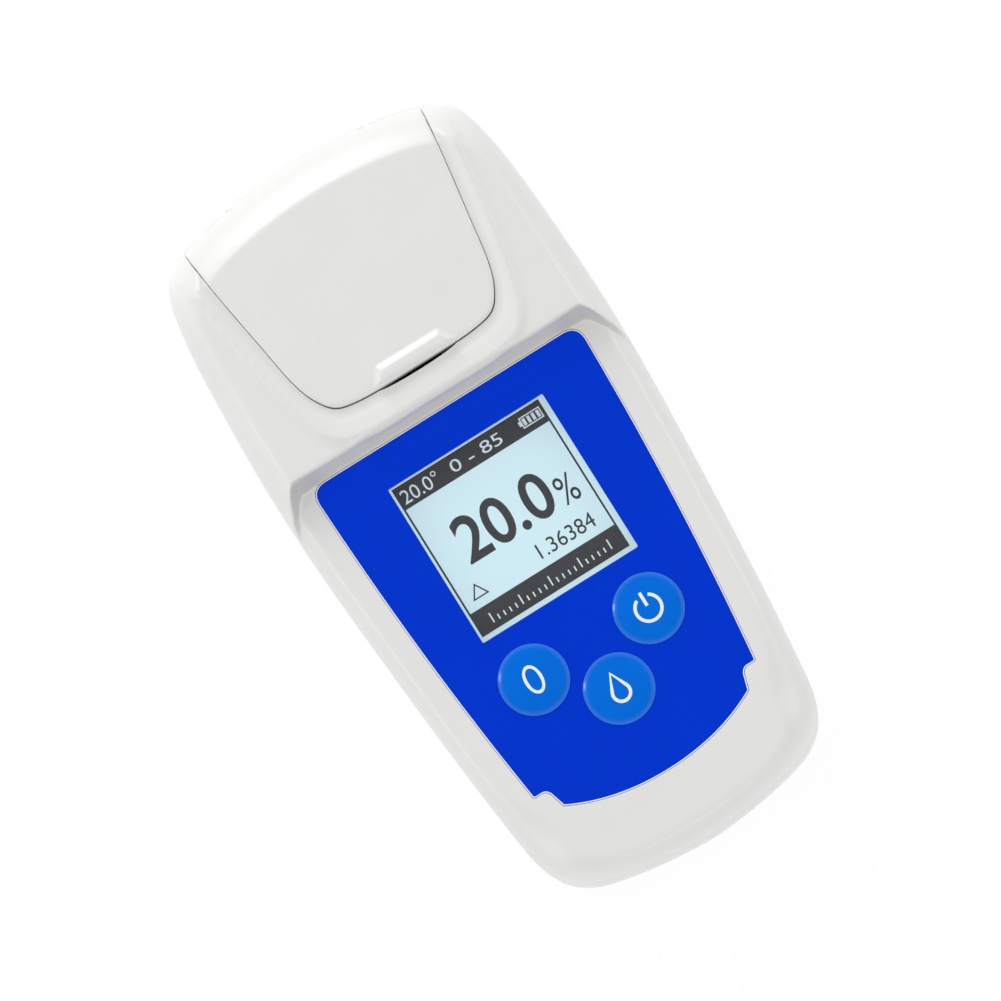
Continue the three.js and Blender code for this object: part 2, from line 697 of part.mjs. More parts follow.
function bottomCover() {
  const shell = cut(lowerForm(0), lowerForm(wall)).intersect(slab(0, lowerEdgeZ));
  const inside = lowerForm(wall / 2).intersect(slab(0, lowerEdgeZ));
  const linkY = bayHeadY - bayLength;
  const ribs = [
    box(-batteryPitch, batteryPitch, bayHeadY, bayHeadY + bayRib, bottomZ, lowerEdgeZ),
    box(-batteryPitch, batteryPitch, -reach, linkY, bottomZ, lowerEdgeZ).intersect(inside),
  ];
  const bosses = caseScrewPlaces.map(([x, y]) => disc(x, y, caseBossRadius, bottomZ + wall / 2, lowerEdgeZ));
  const sealRoom = cut(
    prismOf(planRing(girthShares, wall * sealRoomShares[0], 0), lowerEdgeZ - sealDepth - seatGap, girthZ),
    prismOf(planRing(girthShares, wall * sealRoomShares[1], 0), 0, girthZ + overrun),
  );
  const holes = [
    ...caseScrewPlaces.map(([x, y]) => disc(x, y, caseScrewRadius + seam, 0, girthZ)),
    ...caseScrewPlaces.map(([x, y]) => disc(x, y, caseScrewHeadRadius + seam, 0, caseScrewSeatZ + seatGap)),
    ...footPlaces.map(([x, y]) => disc(x, y, footRadius + seam, 0, bottomZ + footRecess + seatGap)),
    doorWay(seam),
    sealRoom,
  ];
  return cut(join(shell, ...ribs, ...bosses), ...holes);
}

function lidShape() {
  const plan = lidPlan(lidShares, lidFrontY, lidHalfWidth, -seam / 2, 0);
  const cover = cut(headForm(lidZ, 0), headForm(lidZ - lidWall, lidWall));
  const panel = cover.intersect(prismOf(plan, hingeZ, tabZ));
  const barrelX = lidHalfWidth - seam;
  const around = prismOf(planRing(girthShares, 0, 0), partingZ, lidZ);
  const barrel = rodAlongX(-barrelX, barrelX, hingeY, hingeZ, barrelRadius, fineSides)
    .intersect(prismOf(plan, partingZ, tabZ)).intersect(around);
  const tabPlan = (half, y0, farHalf, y1, z) => [
    [-half, y0], [half, y0], [farHalf, y1], [-farHalf, y1],
  ].map(([x, y]) => new THREE.Vector3(x, y, z));
  const tabY = lidFrontY + tabSetBack;
  const base = (z) => tabPlan(tabBaseHalf, tabY, tabTopHalf, tabY + tabDepth, z);
  const crest = tabPlan(
    tabBaseHalf - tabSlope, tabY + tabSlope, tabTopHalf - tabSlope / 2, tabY + tabDepth - tabSlope, tabZ,
  );
  const tab = loft([base(lidZ - lidWall / 2), base(lidZ), crest]);
  const slots = sides.map((side) => {
    const x0 = side * lugX - lugWidth / 2 - seam;
    return rodAlongX(x0, x0 + lugWidth + 2 * seam, hingeY, hingeZ, barrelRadius + seam, fineSides);
  });
  return cut(join(panel, barrel, tab), ...slots, ...sides.map((side) => hingePin(side, pinClearance)));
}

function hingePin(side, clearance) {
  const half = pinLength / 2 + clearance;
  return rodAlongX(side * lugX - half, side * lugX + half, hingeY, hingeZ, pinRadius + clearance);
}

function keypadOverlay() {
  const sheet = prismOf(overlayPlan(0), recessZ + seatGap, keypadZ);
  const holes = buttons.map(([, x, y]) => disc(x, y, buttonRadius + seam, 0, tabZ, fineSides));
  return cut(sheet, square(windowSide / 2 + overlayGap, windowY, 0, tabZ), ...holes);
}

function displayWindow() {
  const flangeHalf = windowSide / 2 + windowFlange;
  const flangeBottomZ = windowFlangeTopZ - windowFlangeThickness;
  const pane = square(windowSide / 2, windowY, flangeBottomZ, keypadZ - windowSunk);
  return join(pane, square(flangeHalf, windowY, flangeBottomZ, windowFlangeTopZ));
}

function button(x, y) {
  const dome = buttonDomeShares.map(([radius, rise]) => [
    radius * buttonRadius, keypadZ + rise * buttonProud,
  ]);
  const flangeBottomZ = keyFlangeTopZ - keyFlangeThickness;
  return turned([
    [0, stemBottomZ], [stemRadius, stemBottomZ], [stemRadius, flangeBottomZ],
    [keyFlangeRadius, flangeBottomZ], [keyFlangeRadius, keyFlangeTopZ], [buttonRadius, keyFlangeTopZ],
    ...dome,
  ], x, y, fineSides);
}

function lcdBox(grow, z0, z1) {
  const halfX = lcdHalfWidth + grow;
  const halfY = lcdHalfLength + grow;
  return box(-halfX, halfX, windowY - halfY, windowY + halfY, z0, z1);
}

function lcdStrip(side) {
  const y = windowY + side * (lcdHalfLength - stripWidth);
  const halfX = lcdHalfWidth - stripWidth;
  const half = stripWidth / 2;
  return box(-halfX, halfX, y - half, y + half, boardTopZ + seatGap, lcdBottomZ - seatGap);
}

// The way of a small screw through what it holds
function smallScrewWay([x, y]) {
  return disc(x, y, smallScrewRadius + seam, 0, tabZ, smallSides);
}

function mainBoard() {
  const plate = box(-boardHalfWidth, boardHalfWidth, boardTailY, boardHeadY, boardBottomZ, boardTopZ);
  return cut(plate, ...boardScrewPlaces.map(smallScrewWay));
}

// A square component of the board's upper side
function onBoard(x, y, side, height) {
  const half = side / 2;
  const z = boardTopZ + seatGap;
  return box(x - half, x + half, y - half, y + half, z, z + height);
}

// A pan-head screw driven upwards, with its head's underside at z
function screw(x, y, headZ, headHeight, headRadius, radius, tipZ, socketDepth) {
  const head = disc(x, y, headRadius, headZ - headHeight, headZ, smallSides);
  const shank = disc(x, y, radius, headZ - headHeight / 2, tipZ, smallSides);
  const bottomOfHead = headZ - headHeight;
  const socket = disc(x, y, radius / 2, bottomOfHead - overrun, bottomOfHead + socketDepth, socketSides);
  return cut(join(head, shank), socket);
}

function battery(x, nubSide) {
  const middleY = batteryEndY - (batteryLength + springRoom) / 2 + nubSide * (springRoom / 2);
  const half = batteryLength / 2;
  const bodyEnd = middleY + nubSide * (half - nubLength);
  const back = middleY - nubSide * half;
  const can = rodAlongY(x, Math.min(back, bodyEnd), Math.max(back, bodyEnd), batteryZ, batteryRadius);
  const nubEnd = middleY + nubSide * half;
  const nubStart = bodyEnd - nubSide * nubLength;
  return join(can, rodAlongY(x, Math.min(nubStart, nubEnd), Math.max(nubStart, nubEnd), batteryZ, nubRadius));
}

class Coil extends THREE.Curve {
  constructor(x, y, z, radius, length, turns) {
    super();
    Object.assign(this, { x, y, z, radius, length, turns });
  }

  getPoint(t, target = new THREE.Vector3()) {
    const angle = 2 * Math.PI * this.turns * t;
    const x = this.x + this.radius * Math.cos(angle);
    const z = this.z + this.radius * Math.sin(angle);
    return target.set(x, this.y + this.length * t, z);
  }
}

function tube(curve, radius, sideCount, steps) {
  const section = new THREE.Shape(Array.from({ length: sideCount }, (_, i) => {
    const angle = (2 * Math.PI * i) / sideCount;
    return new THREE.Vector2(radius * Math.cos(angle), radius * Math.sin(angle));
  }));
  return new THREE.ExtrudeGeometry(section, { steps, bevelEnabled: false, extrudePath: curve });
}

function batterySpring(x, y) {
  const length = springRoom - springWire - 2 * seatGap;
  const startY = y - springRoom + springWire / 2 + seatGap;
  const coil = new Coil(x, startY, batteryZ, springRadius, length, springTurns);
  return toSolid(tube(coil, springWire / 2, springSides, springTurns * springTurnSteps));
}

function contactPlate(x) {
  const y1 = bayHeadY - seatGap;
  const y0 = y1 - contactThickness;
  const lowZ = batteryZ - contactHalfHeight;
  const plate = box(x - contactHalfWidth, x + contactHalfWidth, y0, y1, lowZ, batteryZ + contactHalfHeight);
  const tab = box(x - contactTabHalfWidth, x + contactTabHalfWidth, y0, y1, batteryZ, boardBottomZ - seatGap);
  return join(plate, tab);
}

function contactLink() {
  const y0 = bayHeadY - bayLength + seatGap;
  const halfX = batteryPitch / 2 + contactHalfWidth;
  const lowZ = batteryZ - contactHalfHeight;
  return box(-halfX, halfX, y0, y0 + contactThickness, lowZ, batteryZ + contactHalfHeight);
}

function batteryDoor() {
  const door = doorWay(0).intersect(lowerForm(0));
  const grips = Array.from({ length: doorGripCount }, (_, i) => {
    const y = doorGripY - i * doorGripPitch;
    return box(-doorGripHalfWidth, doorGripHalfWidth, y, y + doorGripWidth, 0, bottomZ + doorGripDepth);
  });
  return cut(door, ...grips);
}

function sampleWell() {
  return turned([
    [wellBoreRadius, wellFootZ], [wellFootRadius, wellFootZ], [wellSkirtRadius, wellFlangeBottomZ - wellLand],
    [wellSkirtRadius, wellFlangeBottomZ], [wellFlangeRadius, wellFlangeBottomZ], [wellFlangeRadius, deckZ],
    [wellRimRadius, deckZ], [wellBoreRadius, wellFootZ + wellLand], [wellBoreRadius, wellFootZ],
  ], 0, wellY, fineSides);
}

function prismGlass() {
  return drawnAlongX([
    [wellY - prismTopHalf, prismTopZ], [wellY - prismFootHalf, prismFootZ],
    [wellY + prismFootHalf, prismFootZ], [wellY + prismTopHalf, prismTopZ],
  ], -prismHalfWidth, prismHalfWidth);
}

function opticalBlock() {
  const body = box(-blockHalfWidth, blockHalfWidth, blockTailY, blockHeadY, blockBottomZ, blockTopZ);
  const ears = earPlaces.map(([x, y]) => disc(x, y, earRadius, earBottomZ, blockTopZ));
  const arm = box(-earX, earX, wellY - earRadius, wellY + earRadius, earBottomZ, blockTopZ);
  const chamber = box(
    -prismHalfWidth - seatGap, prismHalfWidth + seatGap, wellY - prismTopHalf - seatGap,
    wellY + prismTopHalf + seatGap, prismFootZ - seatGap, blockTopZ + overrun,
  );
  const lightWay = rodAlongY(0, blockTailY - overrun, blockHeadY + overrun, lightAxisZ, lightBoreRadius);
  return cut(join(body, arm, ...ears), chamber, lightWay, ...earPlaces.map(smallScrewWay));
}

function lens() {
  const y = blockTailY + lensSetBack;
  const crown = lensCrownShares.map(([radius, rise]) => [
    radius * lensRadius, lensThickness + rise * lensCrown,
  ]);
  const points = [[0, 0], [lensRadius, 0], ...crown].map(([radius, rise]) => new THREE.Vector2(radius, rise));
  return toSolid(new THREE.LatheGeometry(points, plainSides).translate(0, y, lightAxisZ));
}

function opticsBoard(y0) {
  const halfX = opticsBoardHalfWidth;
  return box(-halfX, halfX, y0, y0 + opticsBoardThickness, opticsBoardBottomZ, opticsBoardTopZ);
}

function sensorRibbon() {
  const z = boardBottomZ - seatGap;
  const low = z - ribbonDrop;
  const endY = sensorBoardY - seatGap;
  const bendY = (boardHeadY + endY) / 2;
  return drawnAlongX([
    [boardHeadY - ribbonLap, z], [boardHeadY - ribbonLap, z - ribbonThickness],
    [boardHeadY, z - ribbonThickness], [bendY, low - ribbonThickness], [endY, low - ribbonThickness],
    [endY, low], [bendY + ribbonThickness, low], [boardHeadY + ribbonThickness, z],
  ], -ribbonHalfWidth, ribbonHalfWidth);
}

function ledCable() {
  const startY = ledBoardY + opticsBoardThickness + seatGap;
  const bendY = startY + cableLeadOut;
  const endY = boardHeadY + seatGap;
  const endZ = boardBottomZ + boardThickness / 2;
  const cableZ = lightAxisZ - cableDrop;
  const route = [
    [-cableStartX, startY, cableZ], [-cableStartX, bendY, cableZ], [-cableTurnX, bendY, cableZ],
    [-cableX, blockHeadY, cableZ], [-cableX, wellY, cableZ], [-cableX, blockTailY, cableZ],
    [-boardScrewX, endY + cableLeadIn, endZ], [-boardScrewX, endY, endZ],
  ].map((p) => new THREE.Vector3(...p));
  return toSolid(tube(new THREE.CatmullRomCurve3(route), cableRadius, cableSides, cableSteps));
}

function caseSeal() {
  return cut(
    prismOf(planRing(girthShares, wall * sealShares[0], 0), lowerEdgeZ - sealDepth, upperEdgeZ - seatGap),
    prismOf(planRing(girthShares, wall * sealShares[1], 0), 0, girthZ),
  );
}

addMesh('top_cover', topCover(), whitePlastic);
addMesh('bottom_cover', bottomCover(), whitePlastic);
addMesh('case_seal', caseSeal(), greyRubber);
addMesh('battery_door', batteryDoor(), whitePlastic);
addMesh('lid', lidShape(), whitePlastic);
addMesh('lid_seal', ring(
  0, wellY, lidSealRadius, lidSealRadius - lidSealWidth, deckZ + seatGap, lidZ - lidWall - seatGap,
), blackRubber);
addMesh('hinge_pin_left', hingePin(-1, 0), steel);
addMesh('hinge_pin_right', hingePin(1, 0), steel);

addMesh('keypad_overlay', keypadOverlay(), bluePrint);
addMesh('display_window', displayWindow(), clearPlastic);
buttons.forEach(([name, x, y]) => {
  addMesh(`${name}_button`, button(x, y), keyBlue);
  addMesh(`${name}_switch`, onBoard(x, y, switchSide, switchHeight), steel);
});

addMesh('lcd_panel', lcdBox(0, lcdBottomZ, lcdTopZ), displayGlass);
addMesh('lcd_frame', cut(
  lcdBox(seatGap + lcdFrameWall, boardTopZ + seatGap, lcdTopZ), lcdBox(seatGap, 0, tabZ),
), blackPlastic);
addMesh('lcd_strip_upper', lcdStrip(1), greyRubber);
addMesh('lcd_strip_lower', lcdStrip(-1), greyRubber);
addMesh('main_board', mainBoard(), boardGreen);
addMesh('microcontroller', onBoard(0, buttonRowY, chipSide, chipHeight), blackPlastic);
boardScrewPlaces.forEach(([x, y], i) => addMesh(`board_screw_${i + 1}`, screw(
  x, y, boardBottomZ - seatGap, smallScrewHeadHeight, smallScrewHeadRadius, smallScrewRadius,
  boardTopZ + smallScrewBite, smallScrewHeadHeight / 2,
), steel));

addMesh('battery_1', battery(-batteryPitch / 2, 1), batteryFoil);
addMesh('battery_2', battery(batteryPitch / 2, -1), batteryFoil);
addMesh('battery_spring_1', batterySpring(-batteryPitch / 2, batteryEndY - batteryLength), steel);
addMesh('battery_spring_2', batterySpring(batteryPitch / 2, batteryEndY), steel);
addMesh('contact_plus', contactPlate(-batteryPitch / 2), steel);
addMesh('contact_minus', contactPlate(batteryPitch / 2), steel);
addMesh('contact_link', contactLink(), steel);

addMesh('sample_well', sampleWell(), steel);
addMesh('prism_seal', ring(
  0, wellY, prismSealRadius + prismSealWidth / 2, prismSealRadius - prismSealWidth / 2,
  prismTopZ + seatGap, prismTopZ + seatGap + prismSealHeight,
), blackRubber);
addMesh('prism', prismGlass(), clearGlass);
addMesh('optical_block', opticalBlock(), blackPlastic);
addMesh('led', rodAlongY(0, blockHeadY - ledLength, blockHeadY, lightAxisZ, ledRadius), clearPlastic);
addMesh('led_board', opticsBoard(ledBoardY), boardGreen);
addMesh('lens', lens(), clearGlass);
addMesh('light_sensor', box(
  -sensorHalfWidth, sensorHalfWidth, sensorY, sensorY + sensorThickness,
  lightAxisZ - sensorHalfHeight, lightAxisZ + sensorHalfHeight,
), blackPlastic);
addMesh('sensor_board', opticsBoard(sensorBoardY), boardGreen);
addMesh('sensor_ribbon', sensorRibbon(), ribbonFilm);
addMesh('led_cable', ledCable(), cableJacket);
addMesh('thermistor', disc(
  thermistorX, wellY, thermistorRadius, thermistorZ, thermistorZ + thermistorLength, smallSides,
), blackPlastic);
earPlaces.forEach(([x, y]) => addMesh(`block_screw_${x < 0 ? 'left' : 'right'}`, screw(
  x, y, earBottomZ - seatGap, smallScrewHeadHeight, smallScrewHeadRadius, smallScrewRadius,
  blockTopZ + smallScrewBite, smallScrewHeadHeight / 2,
), steel));

caseScrewPlaces.forEach(([x, y], i) => addMesh(`case_screw_${i + 1}`, screw(
  x, y, caseScrewSeatZ, caseScrewHeadHeight, caseScrewHeadRadius, caseScrewRadius, caseScrewTipZ,
  caseScrewHeadHeight / 2,
), steel));
footPlaces.forEach(([x, y], i) => addMesh(
  `foot_${i + 1}`, disc(x, y, footRadius, 0, bottomZ + footRecess, plainSides), greyRubber,
));

export default instrument;
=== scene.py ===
"""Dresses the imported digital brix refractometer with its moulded, printed and turned surfaces."""
import math

import bmesh
import bpy
from bpy.props import FloatProperty, FloatVectorProperty, PointerProperty, StringProperty
from bpy.types import Operator, Panel, PropertyGroup
from mathutils import Matrix, Vector


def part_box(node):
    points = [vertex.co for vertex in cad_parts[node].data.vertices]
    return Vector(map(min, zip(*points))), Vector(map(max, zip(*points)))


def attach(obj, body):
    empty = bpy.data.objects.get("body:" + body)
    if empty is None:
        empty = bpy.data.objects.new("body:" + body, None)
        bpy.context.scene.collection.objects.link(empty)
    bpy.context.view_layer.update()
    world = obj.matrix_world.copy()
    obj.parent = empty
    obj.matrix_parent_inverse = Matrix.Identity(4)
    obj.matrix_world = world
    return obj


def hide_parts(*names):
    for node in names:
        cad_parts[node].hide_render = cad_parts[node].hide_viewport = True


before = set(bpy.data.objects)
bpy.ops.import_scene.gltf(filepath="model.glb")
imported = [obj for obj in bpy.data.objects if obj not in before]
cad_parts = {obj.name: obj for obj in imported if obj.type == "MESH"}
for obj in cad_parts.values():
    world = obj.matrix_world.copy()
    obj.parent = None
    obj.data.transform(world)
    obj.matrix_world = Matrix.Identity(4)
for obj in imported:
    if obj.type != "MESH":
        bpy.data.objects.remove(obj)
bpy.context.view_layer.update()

bl_info = {
    "name": "Digital brix refractometer",
    "version": (1, 0, 0),
    "blender": (4, 5, 0),
    "location": "3D View > Sidebar > Refractometer",
    "description": "Models the looks of a hand-held digital brix refractometer round its CAD frame",
    "category": "Object",
}

mm = 0.001

# Sizes that the frame gives
cover_low, cover_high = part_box("top_cover")
overlay_low, overlay_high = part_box("keypad_overlay")
window_low, window_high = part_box("display_window")
panel_low, panel_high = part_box("lcd_panel")
well_low, well_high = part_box("sample_well")
seal_low, seal_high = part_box("lid_seal")
pin_low, pin_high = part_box("hinge_pin_right")
door_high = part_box("battery_door")[1]
base_low, base_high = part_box("bottom_cover")
half_width = cover_high.x
half_length = cover_high.y
lid_z = cover_high.z
tab_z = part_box("lid")[1].z
keypad_z = overlay_high.z
bottom_z = base_low.z
lower_edge_z = base_high.z
upper_edge_z = cover_low.z
parting_z = (lower_edge_z + upper_edge_z) / 2
hinge_y = (pin_low.y + pin_high.y) / 2
hinge_z = (pin_low.z + pin_high.z) / 2
well_y = (well_low.y + well_high.y) / 2
deck_z = well_high.z
window_y = (panel_low.y + panel_high.y) / 2

# Walls, clearances, and how the shells' edges run
wall = 1.8 * mm
lid_wall = 2.2 * mm
seam = 0.3 * mm
seat_gap = 0.1 * mm
overrun = 2 * mm
bottom_edge = 3 * mm
bottom_edge_height = 3.4 * mm
rail_set_in = 0.3 * mm
girth_z = parting_z + 3 * mm
shoulder_z = lid_z - 0.6 * mm
rim_slope = 1.0 * mm

# Plans of the case: shares of the half width and of the half length, from the lid end to the tail
girth_shares = (
    (0, 1), (0.41, 0.981), (0.683, 0.953), (0.84, 0.917), (0.887, 0.887), (0.925, 0.83), (0.962, 0.717),
    (0.985, 0.533), (1, 0.317), (0.99, 0.083), (0.962, -0.133), (0.925, -0.378), (0.884, -0.6),
    (0.85, -0.75), (0.826, -0.833), (0.765, -0.903), (0.648, -0.948), (0.478, -0.972), (0.256, -0.99),
    (0, -1),
)
head_top_shares = (
    (0, 0.867), (0.358, 0.853), (0.58, 0.83), (0.758, 0.793), (0.812, 0.767), (0.84, 0.725), (0.85, 0.65),
    (0.857, 0.5), (0.857, 0.3), (0.85, 0.067), (0.826, -0.133), (0.79, -0.367), (0.75, -0.583),
    (0.71, -0.717), (0.683, -0.783), (0.631, -0.842), (0.53, -0.883), (0.39, -0.908), (0.205, -0.925),
    (0, -0.933),
)
keypad_top_shares = (
    (0, 0.95), (0.386, 0.933), (0.642, 0.907), (0.785, 0.872), (0.833, 0.847), (0.863, 0.8), (0.894, 0.7),
    (0.915, 0.525), (0.922, 0.317), (0.915, 0.083), (0.887, -0.133), (0.85, -0.378), (0.815, -0.6),
    (0.755, -0.69), (0.648, -0.77), (0.62, -0.87), (0.525, -0.918), (0.38, -0.942), (0.205, -0.952),
    (0, -0.955),
)

# Step between the head and the keypad, swept towards the tail at its ends
step_foot_y = overlay_high.y + 0.35 * mm
step_draft = 1.4 * mm
step_corner_x = half_width - 4.8 * mm
step_sweep_width = 3.4 * mm
step_sweep = 3.3 * mm
step_sweep_lean = 0.6
step_sweep_squares = (step_corner_x + step_sweep_width) ** 2 - step_corner_x ** 2

# Lid and its rim: plan shares of the half width and of the length back to the lid end
lid_half_width = half_width - 8 * mm
lid_front_y = step_foot_y + 6.45 * mm
lid_grow = seam / 2 - 0.07 * mm
lid_room_set_back = 0.16 * mm
lid_shares = (
    (0, 0), (0.48, 0.006), (0.64, 0.03), (0.732, 0.094), (0.793, 0.184), (0.859, 0.403), (0.93, 0.662),
    (0.981, 0.896), (1, 1.08),
)
rim_half_width = lid_half_width + 1.7 * mm
rim_front_y = lid_front_y - 4.4 * mm
rim_shares = (
    (0, 0), (0.545, 0.006), (0.68, 0.035), (0.765, 0.11), (0.822, 0.231), (0.863, 0.347), (0.907, 0.487),
    (0.947, 0.65), (0.97, 0.767), (1, 1.08),
)
rim_sunk_z = lid_z - 1.1 * mm
pocket_flare = 0.05 * mm
barrel_radius = half_length - hinge_y
barrel_overhang = 0.25 * mm
hinge_ledge_z = hinge_z - 3.4 * mm
lug_x = (pin_low.x + pin_high.x) / 2
lug_width = 2.4 * mm
lug_radius = 2.2 * mm
pin_clearance = 0.08 * mm

# Overlay, window and keys
overlay_top_half = half_width - 6.1 * mm
overlay_mid_half = half_width - 7.5 * mm
overlay_low_half = half_width - 10.2 * mm
overlay_end_y = overlay_low.y
overlay_low_y = overlay_end_y + 6.9 * mm
overlay_mid_y = overlay_end_y + 33.5 * mm
overlay_corner = 2.7 * mm
overlay_low_corner = 0.6 * mm
overlay_spread = 0.25 * mm
overlay_thickness = 0.4 * mm
overlay_gap = 0.06 * mm
recess_z = keypad_z - overlay_thickness - seat_gap
notch_half = overlay_low_half - 2.1 * mm
notch_corner = 1.2 * mm
chin_half = notch_half - 1.2 * mm
chin_y = overlay_end_y + 3.7 * mm
chin_pull_share = 0.57
window_half = window_high.y - window_y - 1.2 * mm
window_top_z = window_high.z
key_names = ("zero", "power", "measure")

# Sample well
well_flange_radius = well_high.x
well_flange_z = deck_z - 0.8 * mm
well_foot_z = well_low.z
well_rim_radius = well_flange_radius - 1.9 * mm
well_skirt_radius = well_flange_radius - 1.3 * mm
well_bore_radius = 5.6 * mm
well_foot_radius = well_bore_radius + 1.8 * mm

# How finely curves are followed
span_steps = 6
edge_steps = 12
sweep_steps = 16
round_steps = 96


def length_setting(name, description, default):
    """A length for the sidebar."""
    return FloatProperty(name=name, description=description, default=default, unit="LENGTH")


def angle_setting(name, description, degrees):
    """An angle for the sidebar."""
    return FloatProperty(name=name, description=description, default=math.radians(degrees), subtype="ANGLE")


def colour_setting(name, description, default):
    """A colour for the sidebar."""
    return FloatVectorProperty(
        name=name, description=description, default=default, size=3, min=0, max=1, subtype="COLOR",
    )


class CaseSizes(PropertyGroup):
    edge_angle: angle_setting("Edge angle", "How steeply the flat tops break over into the sides", 20)
    grain: length_setting("Mould softness", "Size of the cells that round the shells' edges", 0.35 * mm)
    lid_grain: length_setting("Lid softness", "Size of the cells that round the lid's edges", 0.24 * mm)


class KeypadSizes(PropertyGroup):
    # Width of the pale band round the overlay's top: the film's cut edge, painted pale as a highlight of
    # light caught there
    edge_highlight_width: length_setting("Border", "Width of the overlay's pale cut edge", 0.16 * mm)
    key_radius: length_setting("Key radius", "Radius of a key's dome", 5.4 * mm)
    stroke: length_setting("Symbol stroke", "Width of the lines of the key symbols", 0.5 * mm)


class DisplayReading(PropertyGroup):
    main: StringProperty(name="Reading", description="Large number on the display", default="20.0")
    index: StringProperty(name="Index", description="Small number on the display", default="1.36384")
    warmth: StringProperty(name="Warmth", description="Number in the display's top bar", default="20.0°")
    span: StringProperty(name="Span", description="Range of readings in the top bar", default="0 - 85")


class Finishes(PropertyGroup):
    case: colour_setting("Case", "White plastic of the shells and lid", (0.78, 0.78, 0.77))
    overlay: colour_setting("Overlay", "Blue print of the overlay", (0.0, 0.037, 0.63))
    keys: colour_setting("Keys", "Lighter blue of the keys", (0.0, 0.148, 0.71))
    field: colour_setting("Display field", "Lit field of the display", (0.62, 0.83, 0.9))


class StageSettings(PropertyGroup):
    elevation: angle_setting("Camera elevation", "Height of the view above the horizon", 82)
    roll: angle_setting("Camera roll", "How far the object is turned in the picture", 32)
    distance: length_setting("Camera distance", "From the camera to its aim", 0.7)
    lens: FloatProperty(name="Lens", description="Focal length of the camera in millimetres", default=167.4)


class Signal:
    """A shader socket that ordinary arithmetic turns into Math nodes."""

    def __init__(self, nodes, socket):
        self.nodes = nodes
        self.socket = socket

    def maths(self, operation, *terms):
        return self.nodes.add("ShaderNodeMath", {"operation": operation}, dict(enumerate(terms)))

    def __add__(self, other):
        return self.maths("ADD", self, other)

    def __sub__(self, other):
        return self.maths("SUBTRACT", self, other)

    def __rsub__(self, other):
        return self.maths("SUBTRACT", other, self)

    def __mul__(self, other):
        return self.maths("MULTIPLY", self, other)

    def __truediv__(self, other):
        return self.maths("DIVIDE", self, other)

    __radd__ = __add__
    __rmul__ = __mul__

    def squared(self):
        return self * self

    def root(self):
        return self.maths("SQRT", self)

    def capped(self, limit):
        return self.maths("MINIMUM", self, limit)

    def wave(self, length):
        """Sine wave from -1 to 1 that repeats over a length."""
        return self.maths("SINE", self * (2 * math.pi / length))

    def rise(self, start, end):
        """0 up to start, 1 from end on, and a smooth climb between."""
        settings = {"interpolation_type": "SMOOTHSTEP"}
        values = {"Value": self, "From Min": start, "From Max": end}
        return self.nodes.add("ShaderNodeMapRange", settings, values)


class Nodes:
    """A node tree and the ways in which nodes are added to it."""

    def __init__(self, tree):
        self.tree = tree

    def feed(self, socket, value):
        """Links a Signal to a socket, or sets the socket to a value."""
        if isinstance(value, Signal):
            self.tree.links.new(value.socket, socket)
        elif hasattr(socket.default_value, "__len__") and len(value) == 3 and len(socket.default_value) == 4:
            socket.default_value = (*value, 1)
        else:
            socket.default_value = value

    def add(self, kind, settings, values, output=0):
        """Adds a node, sets it up, fills its sockets and returns one of its outputs."""
        node = self.tree.nodes.new(kind)
        for setting, value in settings.items():
            setattr(node, setting, value)
        for key, value in values.items():
            self.feed(node.inputs[key], value)
        return Signal(self, node.outputs[output])

    def seen(self):
        """1 for what the camera sees, also in a mirror or through glass, and 0 for what only lights."""
        kinds = ("Camera", "Glossy", "Transmission")
        camera, mirror, glass = (self.add("ShaderNodeLightPath", {}, {}, f"Is {kind} Ray") for kind in kinds)
        return (camera + mirror + glass).capped(1)

    def blend(self, share, first, second):
        """Mixes two shaders and shows the mix on the tree's surface."""
        mixed = self.add("ShaderNodeMixShader", {}, {0: share, 1: first, 2: second})
        ends = [node for node in self.tree.nodes if node.bl_idname.startswith("ShaderNodeOutput")]
        self.feed(ends[0].inputs["Surface"], mixed)


class Finish(Nodes):
    """One material: a Principled shader, and the nodes that vary what it shows."""

    def __init__(self, name, **values):
        self.material = bpy.data.materials.new(name)
        self.material.use_nodes = True
        super().__init__(self.material.node_tree)
        self.shader = self.tree.nodes["Principled BSDF"]
        for socket, value in values.items():
            self.put(socket.replace("_", " "), value)

    def put(self, socket, value):
        """Sets one of the Principled shader's sockets to a value or a Signal."""
        self.feed(self.shader.inputs[socket], value)

    def point(self):
        return self.add("ShaderNodeTexCoord", {}, {}, "Object")

    def along(self, axis):
        return self.add("ShaderNodeSeparateXYZ", {}, {0: self.point()}, axis)

    def noise(self, feature, detail=2.0, stretch=(1, 1, 1)):
        """Noise from 0 to 1 whose blotches are about as long as feature."""
        scale = tuple(part / feature for part in stretch)
        spread = self.add("ShaderNodeMapping", {}, {"Vector": self.point(), "Scale": scale})
        return self.add("ShaderNodeTexNoise", {}, {"Vector": spread, "Scale": 1.0, "Detail": detail}, "Fac")

    def mix(self, share, first, second):
        values = {"Factor": share, 6: first, 7: second}
        return self.add("ShaderNodeMix", {"data_type": "RGBA"}, values, 2)

    def relief(self, height, depth, strength):
        """Bumps the surface by height, where 1 stands depth above 0."""
        values = {"Height": height, "Distance": depth, "Strength": strength}
        self.put("Normal", self.add("ShaderNodeBump", {}, values, "Normal"))

    def mottle(self, feature, dark, light, detail=2.0):
        """Lets the base colour drift between two shades."""
        self.put("Base Color", self.mix(self.noise(feature, detail), dark, light))

    def wear(self, feature, spread, least):
        """Lets the roughness drift up from its least."""
        self.put("Roughness", self.noise(feature) * spread + least)

    def grain(self, feature, detail, depth, strength):
        """Covers the surface with fine bumps."""
        self.relief(self.noise(feature, detail), depth, strength)


made_finishes = {}


def finish(name):
    """The named material, made the first time that it is asked for."""
    if name not in made_finishes:
        made_finishes[name] = finish_makers[name](name).material
    return made_finishes[name]


